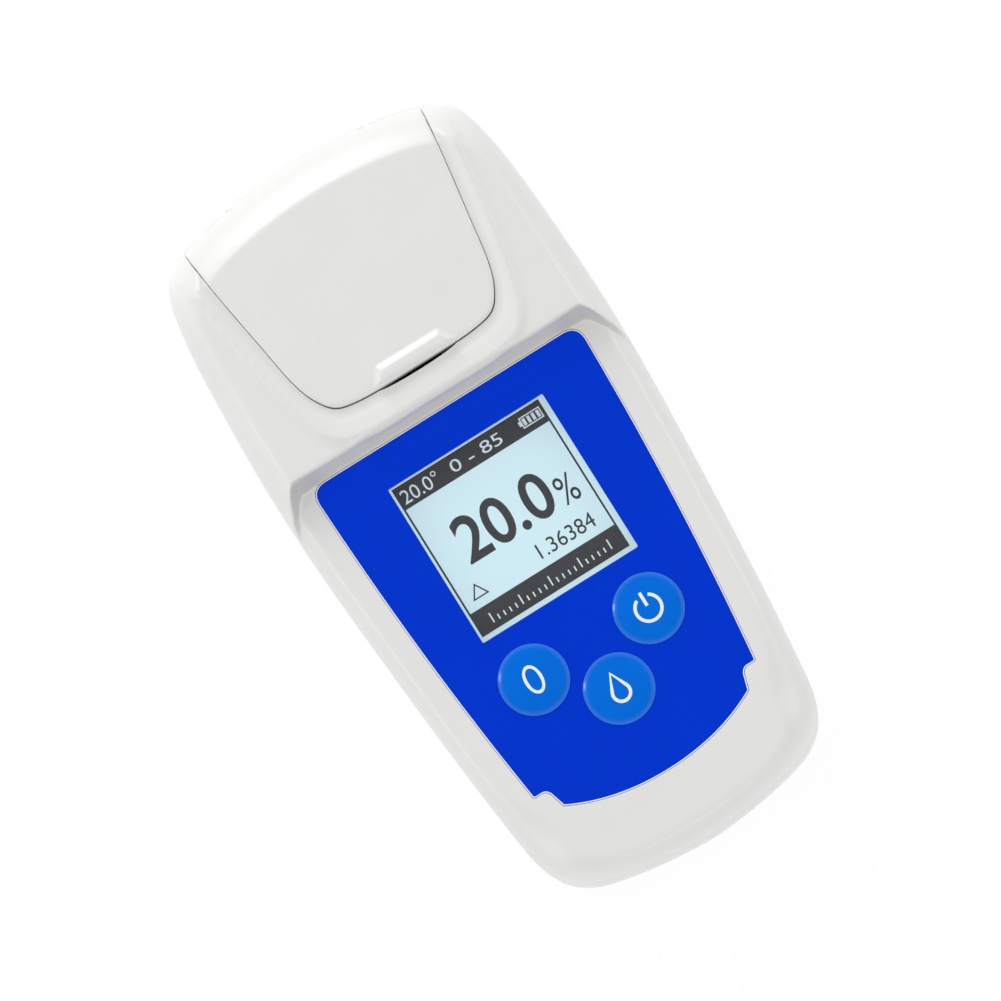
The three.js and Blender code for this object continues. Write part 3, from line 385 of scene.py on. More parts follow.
def plain(mottle, wear=None, grain=None, **values):
    """A maker of finishes that have only a mottled colour, drifting gloss and fine bumps."""

    def make(name):
        made = Finish(name, **values)
        made.mottle(*mottle)
        if wear:
            made.wear(*wear)
        if grain:
            made.grain(*grain)
        return made

    return make


def shaded(color, dark, light):
    """A colour's darker and lighter neighbours."""
    return tuple(c * dark for c in color), tuple(min(1, c * light) for c in color)


def white_plastic(name):
    """Spark-eroded plastic with a faint mottle, and painted shade on the step wall, darker towards its top
    and ends, warm at its foot against the overlay's blue light.
    """
    made = Finish(name, IOR=1.5)
    dark, light = shaded(bpy.context.scene.finishes.case, 0.975, 1.01)
    across = made.along("X").squared()
    swept = across.rise(step_corner_x ** 2, step_corner_x ** 2 + step_sweep_squares)
    z = made.along("Z")
    level = (z - keypad_z) / (shoulder_z - keypad_z)
    drop = swept * step_sweep * (1 - level * step_sweep_lean)
    behind = made.along("Y") - level * step_draft + drop - step_foot_y
    # Painted shade on the step wall: a band on the wall's face between the keypad and the shoulders
    painted_shade_mask = behind.rise(-0.45 * mm, -0.1 * mm) * (1 - behind.rise(0.1 * mm, 0.4 * mm))
    painted_shade_mask = painted_shade_mask * z.rise(keypad_z - 4 * mm, keypad_z + 0.3 * mm)
    # The painted shade is warm at the wall's foot to cancel the blue light thrown by the overlay, and darker
    # neutral grey higher up and towards the step's ends
    painted_wall_shade = made.mix(level, (0.84, 0.8, 0.58), (0.68, 0.67, 0.62))
    beside = across.rise((step_corner_x - 7 * mm) ** 2, step_corner_x ** 2)
    painted_step_shade = made.mix(beside, painted_wall_shade, (0.56, 0.555, 0.53))
    made.put("Base Color", made.mix(painted_shade_mask, made.mix(made.noise(9 * mm, 3), dark, light), painted_step_shade))
    made.wear(1.2 * mm, 0.06, 0.34)
    made.grain(0.2 * mm, 2, 0.005 * mm, 0.3)
    return made


def blue_print(name):
    """Blue ink behind a satin film, with painted light that makes it brighter towards the head."""
    made = Finish(name, IOR=1.5, Specular_IOR_Level=0.04, Coat_Roughness=0.3)
    dark, light = shaded(bpy.context.scene.finishes.overlay, 0.93, 1.22)
    # Random tone, and painted light that lifts the blue towards the head end, where the step shades it
    share = made.noise(14 * mm, 2) * 0.35 + made.along("Y").rise(0, overlay_high.y) * 0.65
    made.put("Base Color", made.mix(share, dark, light))
    made.wear(0.8 * mm, 0.1, 0.34)
    made.put("Coat Weight", made.noise(3 * mm) * 0.02)
    made.grain(0.12 * mm, 2, 0.006 * mm, 0.5)
    return made


def key_blue(name):
    """Lighter blue of the domed keys, glossy where the dome turns down at its edge."""
    made = Finish(name, IOR=1.5, Specular_IOR_Level=0.06, Coat_Roughness=0.16)
    made.mottle(4 * mm, *shaded(bpy.context.scene.finishes.keys, 0.92, 1.1))
    made.wear(0.7 * mm, 0.06, 0.22)
    made.put("Coat Weight", made.along("Z").rise(keypad_z + 0.28 * mm, keypad_z + 0.1 * mm) * 0.8)
    return made


def clear_window(name):
    """Clear pane, pale where its edge shows."""
    made = Finish(name, Base_Color=(0.5, 0.55, 0.6), Roughness=0.06, IOR=1.5)
    made.put("Alpha", made.noise(6 * mm) * 0.01 + 0.025)
    return made


def display_field(name):
    """Back-lit field, a little deeper towards its edges."""
    made = Finish(name, Roughness=0.35, Specular_IOR_Level=0.2, Emission_Strength=0.55)
    dark, light = shaded(bpy.context.scene.finishes.field, 0.94, 1.02)
    x = (made.along("X") / window_half).squared()
    y = ((made.along("Y") - window_y) / window_half).squared()
    edge = (x + y).rise(0.5, 1.8)
    made.put("Base Color", made.mix(edge, shaded(light, 0.5, 1)[0], shaded(dark, 0.5, 1)[0]))
    made.put("Emission Color", made.mix(edge, light, dark))
    return made


def turned_steel(name):
    """Stainless steel with the rings that a lathe leaves about the well's axis."""
    made = Finish(name, Metallic=1.0)
    made.mottle(5 * mm, (0.6, 0.61, 0.62), (0.7, 0.71, 0.72), 3)
    across = made.along("X").squared() + (made.along("Y") - well_y).squared()
    made.wear(1 * mm, 0.1, 0.2)
    made.relief(across.root().wave(0.12 * mm) * 0.5 + 0.5, 0.002 * mm, 0.4)
    return made


def circuit_board(name):
    """Green solder mask over copper tracks."""
    made = Finish(name)
    tracks = made.noise(2.4 * mm, 1, stretch=(1, 0.15, 1)).rise(0.49, 0.53)
    made.put("Base Color", made.mix(tracks, (0.008, 0.1, 0.03), (0.015, 0.2, 0.06)))
    made.wear(1 * mm, 0.12, 0.32)
    made.relief(tracks, 0.03 * mm, 0.7)
    return made


def optical_glass(name):
    """Clear dense glass."""
    made = Finish(name, Base_Color=(0.93, 0.97, 0.98), Transmission_Weight=0.9, IOR=1.6)
    made.wear(2 * mm, 0.02, 0.02)
    return made


def ribbon_film(name):
    """Amber flexible circuit with copper lines."""
    made = Finish(name)
    lines = made.along("X").wave(0.8 * mm)
    made.put("Base Color", made.mix(lines.rise(0, 0.4), (0.35, 0.13, 0.02), (0.55, 0.24, 0.05)))
    made.wear(1 * mm, 0.1, 0.35)
    return made


rubber = {"wear": (0.5 * mm, 0.15, 0.75), "grain": (0.25 * mm, 4, 0.03 * mm, 0.6)}
sleeve = {"wear": (1.5 * mm, 0.1, 0.26), "Metallic": 0.35, "IOR": 1.5}
finish_makers = {
    "case": white_plastic,
    "overlay": blue_print,
    # Pale band round the overlay: the film's cut edge, painted paler than the case as a highlight
    "film edge": plain((0.6 * mm, (0.86, 0.9, 0.98), (0.93, 0.95, 1.0)), Roughness=0.3),
    "key": key_blue,
    "white print": plain((0.5 * mm, (0.78, 0.86, 0.93), (0.88, 0.93, 0.97)), Roughness=0.4),
    "window": clear_window,
    "display": display_field,
    "display ink": plain(
        (0.5 * mm, (0.018, 0.018, 0.02), (0.03, 0.03, 0.033)), Roughness=0.5, Specular_IOR_Level=0.2,
    ),
    "display light": plain((0.5 * mm, (0.7, 0.85, 0.9), (0.8, 0.92, 0.96)), Roughness=0.4),
    "black plastic": plain(
        (3 * mm, (0.012, 0.012, 0.013), (0.03, 0.03, 0.032), 3), (0.8 * mm, 0.15, 0.5),
        (0.15 * mm, 3, 0.02 * mm, 0.5),
    ),
    "black rubber": plain((1.5 * mm, (0.012, 0.012, 0.013), (0.028, 0.028, 0.03), 4), **rubber),
    "grey rubber": plain((1.5 * mm, (0.26, 0.27, 0.28), (0.34, 0.35, 0.36), 4), **rubber),
    "turned steel": turned_steel,
    "plated steel": plain(
        (2 * mm, (0.5, 0.5, 0.5), (0.68, 0.68, 0.67), 3), (0.6 * mm, 0.15, 0.24),
        (0.2 * mm, 3, 0.01 * mm, 0.3), Metallic=1.0,
    ),
    "circuit board": circuit_board,
    "optical glass": optical_glass,
    "battery": plain((4 * mm, (0.028, 0.042, 0.056), (0.036, 0.05, 0.066)), **sleeve),
    "battery band": plain((4 * mm, (0.4, 0.19, 0.05), (0.46, 0.23, 0.07)), **sleeve),
    "ribbon": ribbon_film,
    "cable": plain((1 * mm, (0.08, 0.085, 0.09), (0.12, 0.125, 0.13), 3), (0.6 * mm, 0.1, 0.5)),
}


def through(points, steps, closed=False):
    """Points of a smooth curve through the given ones, steps to each span, by centripetal Catmull-Rom."""
    count = len(points)
    spans = count if closed else count - 1

    def at(i):
        if closed:
            return points[i % count]
        if i < 0:
            return 2 * points[0] - points[1]
        if i >= count:
            return 2 * points[-1] - points[-2]
        return points[i]

    run = []
    for i in range(spans):
        before, start, end, after = (at(i + k) for k in (-1, 0, 1, 2))
        d0, d1, d2 = (math.sqrt((b - a).length) for a, b in ((before, start), (start, end), (end, after)))
        leave = ((start - before) / d0 - (end - before) / (d0 + d1) + (end - start) / d1) * d1
        arrive = ((end - start) / d1 - (after - start) / (d1 + d2) + (after - end) / d2) * d1
        for step in range(steps):
            t = step / steps
            run.append(
                start * (2 * t ** 3 - 3 * t ** 2 + 1) + leave * (t ** 3 - 2 * t ** 2 + t)
                + end * (3 * t ** 2 - 2 * t ** 3) + arrive * (t ** 3 - t ** 2)
            )
    if not closed:
        run.append(points[-1].copy())
    return run


def mirrored(points):
    """Points of the other half, in the order that carries a run on."""
    return [Vector((-p.x, p.y, p.z)) for p in reversed(points)]


def eased(ring, passes):
    """A closed run of points with each one drawn towards its neighbours."""
    for _ in range(passes):
        ring = [(ring[i - 1] + 2 * p + ring[(i + 1) % len(ring)]) / 4 for i, p in enumerate(ring)]
    return ring


def plan_ring(shares, inset, z, steps=span_steps):
    """Closed plan curve of the case, moved in by inset."""
    right = [Vector((x * (half_width - inset), y * (half_length - inset), z)) for x, y in shares]
    return eased(through(right + mirrored(right[1:-1]), steps, closed=True), steps)


def loft(rings):
    """A closed body through rings of equally many points, capped at both ends."""
    bm = bmesh.new()
    count = len(rings[0])
    made = bmesh.ops.create_grid(bm, x_segments=count, y_segments=len(rings) - 1)
    verts = made["verts"]
    for level, ring in enumerate(rings):
        for i in range(count + 1):
            verts[level * (count + 1) + i].co = ring[i % count]
    bmesh.ops.remove_doubles(bm, verts=verts, dist=0.1 * seat_gap)
    bmesh.ops.holes_fill(bm, edges=[e for e in bm.edges if e.is_boundary], sides=0)
    return bm


def boxed(bm, low, high):
    """Adds a plain box between two corners."""
    low, high = Vector(low), Vector(high)
    made = bmesh.ops.create_cube(bm, size=1)
    bmesh.ops.scale(bm, vec=high - low, verts=made["verts"])
    bmesh.ops.translate(bm, vec=(high + low) / 2, verts=made["verts"])
    return bm


def turned(bm, profile, x, y, steps=round_steps):
    """Adds a profile of (radius, z) points spun about the upright line through x, y."""
    verts = [bm.verts.new((x + radius, y, z)) for radius, z in profile]
    edges = [bm.edges.new(pair) for pair in zip(verts, verts[1:])]
    bmesh.ops.spin(
        bm, geom=verts + edges, cent=(x, y, 0), axis=(0, 0, 1), angle=2 * math.pi, steps=steps,
        use_merge=True,
    )
    bmesh.ops.remove_doubles(bm, verts=bm.verts, dist=0.05 * seat_gap)
    return bm


def column(bm, x, y, radius, z0, z1, steps=round_steps):
    """Adds an upright cylinder."""
    return turned(bm, [(0, z0), (radius, z0), (radius, z1), (0, z1)], x, y, steps)


def rod(bm, low_x, high_x, y, z, radius, steps=64):
    """Adds a cylinder along X."""
    turn = Matrix.Rotation(math.pi / 2, 4, "Y")
    place = Matrix.Translation(((low_x + high_x) / 2, y, z)) @ turn
    bmesh.ops.create_cone(
        bm, cap_ends=True, segments=steps, radius1=radius, radius2=radius, depth=high_x - low_x, matrix=place,
    )
    return bm


def placed(bm, name="tool"):
    """A mesh as an object of the scene."""
    mesh = bpy.data.meshes.new(name)
    bm.to_mesh(mesh)
    bm.free()
    made = bpy.data.objects.new(name, mesh)
    bpy.context.scene.collection.objects.link(made)
    return made


def solid(bm, name="tool"):
    """A closed body as an object, facing outwards."""
    bmesh.ops.recalc_face_normals(bm, faces=bm.faces)
    return placed(bm, name)


def baked(made):
    """Makes an object's modifiers part of its mesh."""
    graph = bpy.context.evaluated_depsgraph_get()
    mesh = bpy.data.meshes.new_from_object(made.evaluated_get(graph))
    rough = made.data
    made.modifiers.clear()
    made.data = mesh
    bpy.data.meshes.remove(rough)


def worked(base, operation, *tools):
    """Joins tools to a body, cuts them out of it or keeps what they share, and removes them."""
    for tool in tools:
        modifier = base.modifiers.new(operation, "BOOLEAN")
        modifier.operation = operation
        modifier.solver = "EXACT"
        modifier.object = tool
    baked(base)
    for tool in tools:
        bpy.data.meshes.remove(tool.data)
    return base


def joined(base, *tools):
    """One body from several."""
    return worked(base, "UNION", *tools)


def cut(base, *tools):
    """What the tools leave of a body."""
    return worked(base, "DIFFERENCE", *tools)


def shared(base, tool):
    """What lies in both bodies."""
    return worked(base, "INTERSECT", tool)


def moulded(made, grain, passes):
    """Rebuilds a body from even cells and smooths it, which rounds its edges as a mould does."""
    modifier = made.modifiers.new("soften", "REMESH")
    modifier.mode = "VOXEL"
    modifier.voxel_size = grain
    baked(made)
    bm = bmesh.new()
    bm.from_mesh(made.data)
    for _ in range(passes):
        bmesh.ops.smooth_vert(
            bm, verts=bm.verts, factor=0.5, use_axis_x=True, use_axis_y=True, use_axis_z=True,
        )
    bm.to_mesh(made.data)
    bm.free()
    return made


def kept_above(made, z):
    """Cuts off what lies under a level and closes the cut."""
    bm = bmesh.new()
    bm.from_mesh(made.data)
    geometry = bm.verts[:] + bm.edges[:] + bm.faces[:]
    bmesh.ops.bisect_plane(
        bm, geom=geometry, dist=0.01 * seat_gap, plane_co=(0, 0, z), plane_no=(0, 0, 1), clear_inner=True,
    )
    bmesh.ops.holes_fill(bm, edges=[e for e in bm.edges if e.is_boundary], sides=0)
    bm.to_mesh(made.data)
    bm.free()


def dressed(made, name, materials, stands_for=(), body="case", crease=35):
    """Names a finished body, gives it its materials and lets it ride in place of its CAD nodes."""
    made.name = name
    made.data.name = name
    for slot_number, material in enumerate(materials):
        if slot_number == len(made.data.materials):
            made.data.materials.append(None)
        made.data.materials[slot_number] = finish(material)
    made.data.shade_smooth()
    made.data.set_sharp_from_angle(angle=math.radians(crease))
    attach(made, body)
    if stands_for:
        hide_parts(*stands_for)


def rounded_rings(top_shares, top_z, inset, steps=span_steps, levels=edge_steps):
    """Rings from the girth to a flat top whose edge breaks over at an angle and then curves down."""
    angle = bpy.context.scene.case_sizes.edge_angle
    low = plan_ring(girth_shares, inset, girth_z, steps)
    high = plan_ring(top_shares, inset, girth_z, steps)
    rings = []
    for level in range(levels + 1):
        turn = (math.pi / 2) + (angle - math.pi / 2) * level / levels
        out = (math.sin(turn) - math.sin(angle)) / (1 - math.sin(angle))
        up = math.cos(turn) / math.cos(angle)
        ring = [top.lerp(girth, out) for girth, top in zip(low, high)]
        for p in ring:
            p.z = girth_z + (top_z - girth_z) * up
        rings.append(ring)
    return rings


def lower_form(inset, steps=span_steps, levels=6):
    """The straight-sided lower part, rounded over to the flat bottom."""
    rings = []
    for level in range(levels + 1):
        turn = math.pi / 2 * level / levels
        ring_inset = inset + bottom_edge * (1 - math.sin(turn))
        z = bottom_z + inset + bottom_edge_height * (1 - math.cos(turn))
        rings.append(plan_ring(girth_shares, ring_inset, z, steps))
    rings.append(plan_ring(girth_shares, inset, girth_z, steps))
    return solid(loft(rings))


def head_form(top_z, inset, steps=span_steps, levels=edge_steps):
    """The head carried through to the tail, moved in by inset."""
    return solid(loft(rounded_rings(head_top_shares, top_z, inset, steps, levels)))


def keypad_form(inset, steps=span_steps, levels=edge_steps):
    """The keypad's flat top with its rails and chin, moved in by inset."""
    top_z, rail_inset = keypad_z - inset, inset + rail_set_in
    return solid(loft(rounded_rings(keypad_top_shares, top_z, rail_inset, steps, levels)))


def head_zone(inset):
    """Everything on the lid's side of the step, whose wall leans back as it rises."""
    far, side = half_length + overrun, half_width + overrun

    def plan(z):
        level = (z - keypad_z) / (shoulder_z - keypad_z)
        y = step_foot_y + inset + step_draft * level
        swept = []
        for i in range(sweep_steps + 1):
            x = step_corner_x + (side - step_corner_x) * i / sweep_steps
            share = min(1, (x ** 2 - step_corner_x ** 2) / step_sweep_squares)
            drop = step_sweep * share * share * (3 - 2 * share)
            swept.append(Vector((x, y - drop * (1 - step_sweep_lean * level), z)))
        return mirrored(swept) + swept + [Vector((side, far, z)), Vector((-side, far, z))]

    return solid(loft([plan(girth_z), plan(lid_z + overrun)]))


def case_form(inset, steps=span_steps, levels=edge_steps):
    """The whole case without its lid's rim, moved in by inset."""
    head = shared(head_form(shoulder_z - inset, inset, steps, levels), head_zone(inset))
    return joined(lower_form(inset, steps), keypad_form(inset, steps, levels), head)


def lid_plan(shares, front_y, width, grow, z):
    """Plan of the lid or of its rim, open to the rear; grow moves its edge outwards."""
    right = [
        Vector((x * (width + grow), front_y - grow + y * (half_length - front_y), z)) for x, y in shares
    ]
    return through(mirrored(right[1:]) + right, span_steps)


def lid_room(z0, z1):
    """Upright prism over the lid's plan, a little clear of the pocket's front."""
    front_y = lid_front_y + lid_room_set_back
    return solid(loft([lid_plan(lid_shares, front_y, lid_half_width, lid_grow, z) for z in (z0, z1)]))


def lid_pocket(extra, flare=0.0):
    """Space for the lid in the case: its own room, the hinge barrel's seat and the way behind it."""
    grow = seam / 2 + extra
    plan = [(grow, hinge_z), (grow, lid_z - flare), (grow + flare + overrun, lid_z + overrun)]
    room = solid(loft([lid_plan(lid_shares, lid_front_y, lid_half_width, g, z) for g, z in plan]))
    cut(room, head_form(deck_z - extra, lid_wall + seam + extra))
    side = lid_half_width + grow
    seat = rod(bmesh.new(), -side, side, hinge_y, hinge_z, barrel_radius + seam + extra)
    low = (-side, hinge_y, hinge_ledge_z - extra)
    behind = boxed(bmesh.new(), low, (side, half_length + overrun, hinge_z + overrun))
    return joined(room, solid(seat), solid(behind))


def finger_slot():
    """Crescent in front of the lid that lets a fingertip under the thumb tab."""
    half, reach, depth, flare = 6.9 * mm, 0.6 * mm, 5 * mm, 0.1 * mm
    circle = arc(1, 0, 360, 64)[:-1]
    return solid(loft([
        [Vector((p.x * (half + wide), lid_front_y + p.y * (reach + wide), z)) for p in circle]
        for wide, z in ((0, lid_z - depth), (0, lid_z - flare), (flare, lid_z), (flare, tab_z))
    ]))


def rim_form():
    """The raised rim round the lid, dished towards the lid and sloping down to the shoulders."""
    crest_y, crest_half = rim_front_y, rim_half_width + 0.4 * mm
    plan = [(rim_slope, hinge_z), (rim_slope, shoulder_z - seat_gap), (0, lid_z)]
    ridge = solid(loft([lid_plan(rim_shares, crest_y, crest_half, grow, z) for grow, z in plan]))
    rings = []
    for out, z in ((0, rim_sunk_z), (0.45, rim_sunk_z * 0.3 + lid_z * 0.7), (1, lid_z), (1, tab_z)):
        front_y = lid_front_y + (crest_y - lid_front_y) * out
        width = lid_half_width + (crest_half - lid_half_width) * out
        rings.append(lid_plan(rim_shares, front_y, width, 0, z))
    return cut(shared(ridge, head_form(lid_z, 0)), solid(loft(rings)))


def bend(start, corner, end, steps):
    """Points of a quadratic curve after its start."""
    shares = [step / steps for step in range(1, steps + 1)]
    return [start * (1 - t) ** 2 + corner * (2 * t * (1 - t)) + end * t ** 2 for t in shares]


def overlay_plan(grow, z):
    """Overlay's outline from the middle of its lower end, moved outwards by grow."""
    grow += overlay_spread
    mid_pull = 2 * overlay_mid_half - (overlay_low_half + overlay_top_half) / 2
    low_x, low_y, end_y = overlay_low_half + grow, overlay_low_y - grow, overlay_end_y - grow
    top_x, top_y = overlay_top_half + grow, overlay_high.y + grow
    notch_x = notch_half + grow
    right = [Vector((0, end_y, z))]
    for corner, end, steps in (
        ((chin_half * chin_pull_share, end_y), (chin_half + grow, chin_y - grow), 16),
        (None, (notch_x - notch_corner / 2, low_y - notch_corner), 0),
        ((notch_x - notch_corner / 4, low_y), (notch_x + notch_corner / 2, low_y), 8),
        (None, (low_x - overlay_low_corner, low_y), 0),
        ((low_x, low_y), (low_x, low_y + overlay_low_corner), 8),
        ((mid_pull + grow, overlay_mid_y), (top_x, top_y - overlay_corner), 24),
        ((top_x, top_y), (top_x - overlay_corner, top_y), 12),
    ):
        end = Vector((*end, z))
        right += bend(right[-1], Vector((*corner, z)), end, steps) if corner else [end]
    return right + mirrored(right[1:])


def square_plan(half, z):
    """Square with small round corners about the window's middle."""
    inner = half - 0.3 * mm
    corner = [Vector((half, inner, 0))]
    corner += bend(corner[0], Vector((half, half, 0)), Vector((inner, half, 0)), 4)
    turns = [Matrix.Rotation(turn * math.pi / 2, 3, "Z") for turn in range(4)]
    return [spin @ p + Vector((0, window_y, z)) for spin in turns for p in corner]


def middle_of(low, high):
    """Middle of a box, seen from above."""
    return (low.x + high.x) / 2, (low.y + high.y) / 2


def key_places():
    """Middle of each key's dome, from the CAD."""
    return [middle_of(*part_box(f"{name}_button")) for name in key_names]


def node_places(name, count):
    """Middles of numbered CAD nodes that are all alike."""
    return [middle_of(*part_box(f"{name}_{i + 1}")) for i in range(count)]


def lugs():
    """Two hinge lugs on the case, rooted in the wall in front of them."""
    knuckles = bmesh.new()
    roots = bmesh.new()
    root_y = hinge_y - barrel_radius - seam - wall / 2
    for side in (-1, 1):
        x0 = side * lug_x - lug_width / 2
        rod(knuckles, x0, x0 + lug_width, hinge_y, hinge_z, lug_radius, 48)
        boxed(roots, (x0, root_y, hinge_z - lug_radius), (x0 + lug_width, hinge_y, hinge_z))
    around = solid(loft([plan_ring(girth_shares, 0.1 * mm, z) for z in (parting_z, lid_z)]))
    return shared(joined(solid(knuckles), solid(roots)), around)


def pin_bores():
    """Bores for the two hinge pins, with their clearance."""
    bores = bmesh.new()
    half = (pin_high.x - pin_low.x) / 2 + pin_clearance
    radius = (pin_high.z - pin_low.z) / 2 + pin_clearance
    for side in (-1, 1):
        rod(bores, side * lug_x - half, side * lug_x + half, hinge_y, hinge_z, radius, 32)
    return solid(bores)


class REFRACTOMETER_OT_top_cover(Operator):
    """Moulds the upper shell with its head, rim, step, chin, lid pocket and openings"""

    bl_idname = "refractometer.top_cover"
    bl_label = "Top cover"

    def execute(self, context):
        key_radius = context.scene.keypad_sizes.key_radius
        shell = joined(case_form(0), rim_form())
        kept_above(moulded(shell, context.scene.case_sizes.grain, 4), upper_edge_z)
        cavity = cut(case_form(wall, 2, 5), lid_pocket(wall))
        cut(shell, cavity)
        cut(shell, joined(lid_pocket(0, pocket_flare), finger_slot()))
        joined(shell, lugs())
        under_z = keypad_z - wall - overrun
        holes = bmesh.new()
        for x, y in key_places():
            column(holes, x, y, key_radius + seam, under_z, tab_z, steps=64)
        seat_z, chamfer = well_flange_z - seat_gap, 0.2 * mm
        skirt, flange = well_skirt_radius + seam, well_flange_radius + seam
        turned(holes, [
            (0, hinge_z), (skirt, hinge_z), (skirt, seat_z), (flange, seat_z), (flange, deck_z - chamfer),
            (flange + overrun, deck_z + overrun - chamfer), (0, deck_z + overrun),
        ], 0, well_y)
        edge_gap = overlay_gap + 0.03 * mm
        recess = solid(loft([
            overlay_plan(overlay_gap, recess_z), overlay_plan(overlay_gap, keypad_z - 0.1 * mm),
            overlay_plan(edge_gap, keypad_z), overlay_plan(edge_gap, tab_z),
        ]))
        opening = solid(loft([square_plan(window_half + seat_gap, z) for z in (under_z, tab_z)]))
        cut(shell, solid(holes), recess, opening, pin_bores())
        dressed(shell, "upper_shell", ["case"], ["top_cover"])
        return {"FINISHED"}


def door_way(grow):
    """Space that the battery door takes in the floor, with its hidden flanges."""
    half, flange_half = door_high.x - 1.1 * mm + grow, door_high.x + grow
    far_y, near_y, high_z = -2 * half_length, door_high.y + grow, door_high.z + grow
    low_z = bottom_z - grow - overrun * (grow > 0)
    flange_low_z = max(door_high.z - 0.7 * mm - grow, bottom_z + 0.7 * mm)
    plate = boxed(bmesh.new(), (-half, far_y, low_z), (half, near_y, high_z))
    flange = boxed(bmesh.new(), (-flange_half, far_y, flange_low_z), (flange_half, near_y, high_z))
    return joined(solid(plate), solid(flange))


def sunk_seat(bm, place, radius, chamfer, top_z, steps):
    """Adds a round seat that is sunk into the floor from below, with a chamfered edge."""
    turned(bm, [
        (0, -overrun), (radius + chamfer + overrun, -overrun), (radius, bottom_z + chamfer), (radius, top_z),
        (0, top_z),
    ], *place, steps)


class REFRACTOMETER_OT_bottom_cover(Operator):
    """Moulds the lower shell with its bay, bosses, screw holes and foot seats"""

    bl_idname = "refractometer.bottom_cover"
    bl_label = "Bottom cover"

    def execute(self, context):
        battery_radius, rib_width = 5.25 * mm, 1.4 * mm
        boss_radius, hole_radius, screw_seat_radius, foot_seat_radius = 3.1 * mm, 1.4 * mm, 2.3 * mm, 3.5 * mm
        shell = lower_form(0)
        cut(shell, lower_form(wall, 2, 4))
        half_floor, top_z = bottom_z + wall / 2, lower_edge_z + overrun
        bay_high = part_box("contact_plus")[1].y + seat_gap
        bay_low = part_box("contact_link")[0].y - seat_gap
        bay_half = 2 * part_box("battery_2")[0].x + 2 * battery_radius
        head_rib = boxed(
            bmesh.new(), (-bay_half, bay_high, half_floor), (bay_half, bay_high + rib_width, top_z),
        )
        tail = boxed(bmesh.new(), (-bay_half, -2 * half_length, bottom_z), (bay_half, bay_low, top_z))
        tail_rib = shared(solid(tail), lower_form(wall / 2, 2, 4))
        bosses = bmesh.new()
        holes = bmesh.new()
        seats = bmesh.new()
        screw_seat_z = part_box("case_screw_1")[0].z + 1.5 * mm
        for place in node_places("case_screw", 4):
            column(bosses, *place, boss_radius, half_floor, top_z, steps=48)
            column(holes, *place, hole_radius, 0, girth_z, steps=32)
            sunk_seat(seats, place, screw_seat_radius, 0.3 * mm, screw_seat_z, 48)
        for place in node_places("foot", 4):
            sunk_seat(seats, place, foot_seat_radius, 0.2 * mm, bottom_z + 0.7 * mm, 64)
        joined(shell, solid(head_rib), tail_rib, solid(bosses))
        above = boxed(bmesh.new(), (-1, -1, lower_edge_z), (1, 1, 1))
        groove, core = (
            solid(loft([plan_ring(girth_shares, wall * share, z) for z in levels]))
            for share, levels in (
                (0.25, (lower_edge_z - 0.9 * mm, girth_z)), (0.75, (0, girth_z + overrun)),
            )
        )
        cut(groove, core)
        cut(shell, solid(above), solid(holes), solid(seats), door_way(seam), groove)
        dressed(shell, "lower_shell", ["case"], ["bottom_cover"])
        return {"FINISHED"}


class REFRACTOMETER_OT_battery_door(Operator):
    """Moulds the sliding battery door with its finger grips and arrow"""

    bl_idname = "refractometer.battery_door"
    bl_label = "Battery door"

    def execute(self, context):
        grip_half, grip_width, grip_pitch, depth = 6 * mm, 1 * mm, 2.4 * mm, 0.5 * mm
        first_grip_y, arrow_depth = door_high.y - 13.5 * mm, 0.4 * mm
        arrow = ((-3 * mm, -25 * mm), (3 * mm, -25 * mm), (0, -29.5 * mm))
        door = shared(door_way(0), lower_form(0))
        grips = bmesh.new()
        for row in range(4):
            y = first_grip_y - row * grip_pitch
            boxed(grips, (-grip_half, y, 0), (grip_half, y + grip_width, bottom_z + depth))
        arrow_hole = solid(loft([
            [Vector((x, door_high.y + y, z)) for x, y in arrow] for z in (-overrun, bottom_z + arrow_depth)
        ]))
        cut(door, solid(grips), arrow_hole)
        moulded(door, context.scene.case_sizes.grain, 2)
        dressed(door, "door_moulding", ["case"], ["battery_door"], "battery_door")
        return {"FINISHED"}


def tab_ring(slope, front, z):
    """The thumb tab's outline, its sides moved in by slope and its front edge moved back."""
    base_half, top_half, depth = 7.2 * mm - slope, 5.5 * mm - slope / 2, 2.9 * mm - slope
    tab_y = lid_front_y + 0.3 * mm
    corners = ((-base_half, front), (base_half, front), (top_half, depth), (-top_half, depth))
    return [Vector((x, tab_y + y, z)) for x, y in corners]


class REFRACTOMETER_OT_lid(Operator):
    """Moulds the lid with its barrel and thumb tab"""

    bl_idname = "refractometer.lid"
    bl_label = "Lid"

    def execute(self, context):
        panel = shared(head_form(lid_z, 0), lid_room(hinge_z, tab_z))
        cut(panel, head_form(lid_z - lid_wall, lid_wall))
        barrel_half = lid_half_width - seam
        barrel = rod(bmesh.new(), -barrel_half, barrel_half, hinge_y, hinge_z, barrel_radius, 96)
        barrel = shared(solid(barrel), lid_room(parting_z, tab_z))
        foot_ring = plan_ring(girth_shares, -barrel_overhang, parting_z)
        rings = rounded_rings(head_top_shares, lid_z, -barrel_overhang)
        shared(barrel, solid(loft([foot_ring] + rings)))
        tab = solid(loft([
            tab_ring(0, 0, lid_z - lid_wall / 2), tab_ring(0, 0, lid_z),
            tab_ring(1.05 * mm, 0.35 * mm, tab_z),
        ]))
        joined(panel, barrel, tab)
        moulded(panel, context.scene.case_sizes.lid_grain, 3)
        slots = bmesh.new()
        for side in (-1, 1):
            x0 = side * lug_x - lug_width / 2 - seam
            rod(slots, x0, x0 + lug_width + 2 * seam, hinge_y, hinge_z, barrel_radius + seam)
        cut(panel, solid(slots), pin_bores())
        dressed(panel, "lid_moulding", ["case"], ["lid"], "lid")
        return {"FINISHED"}


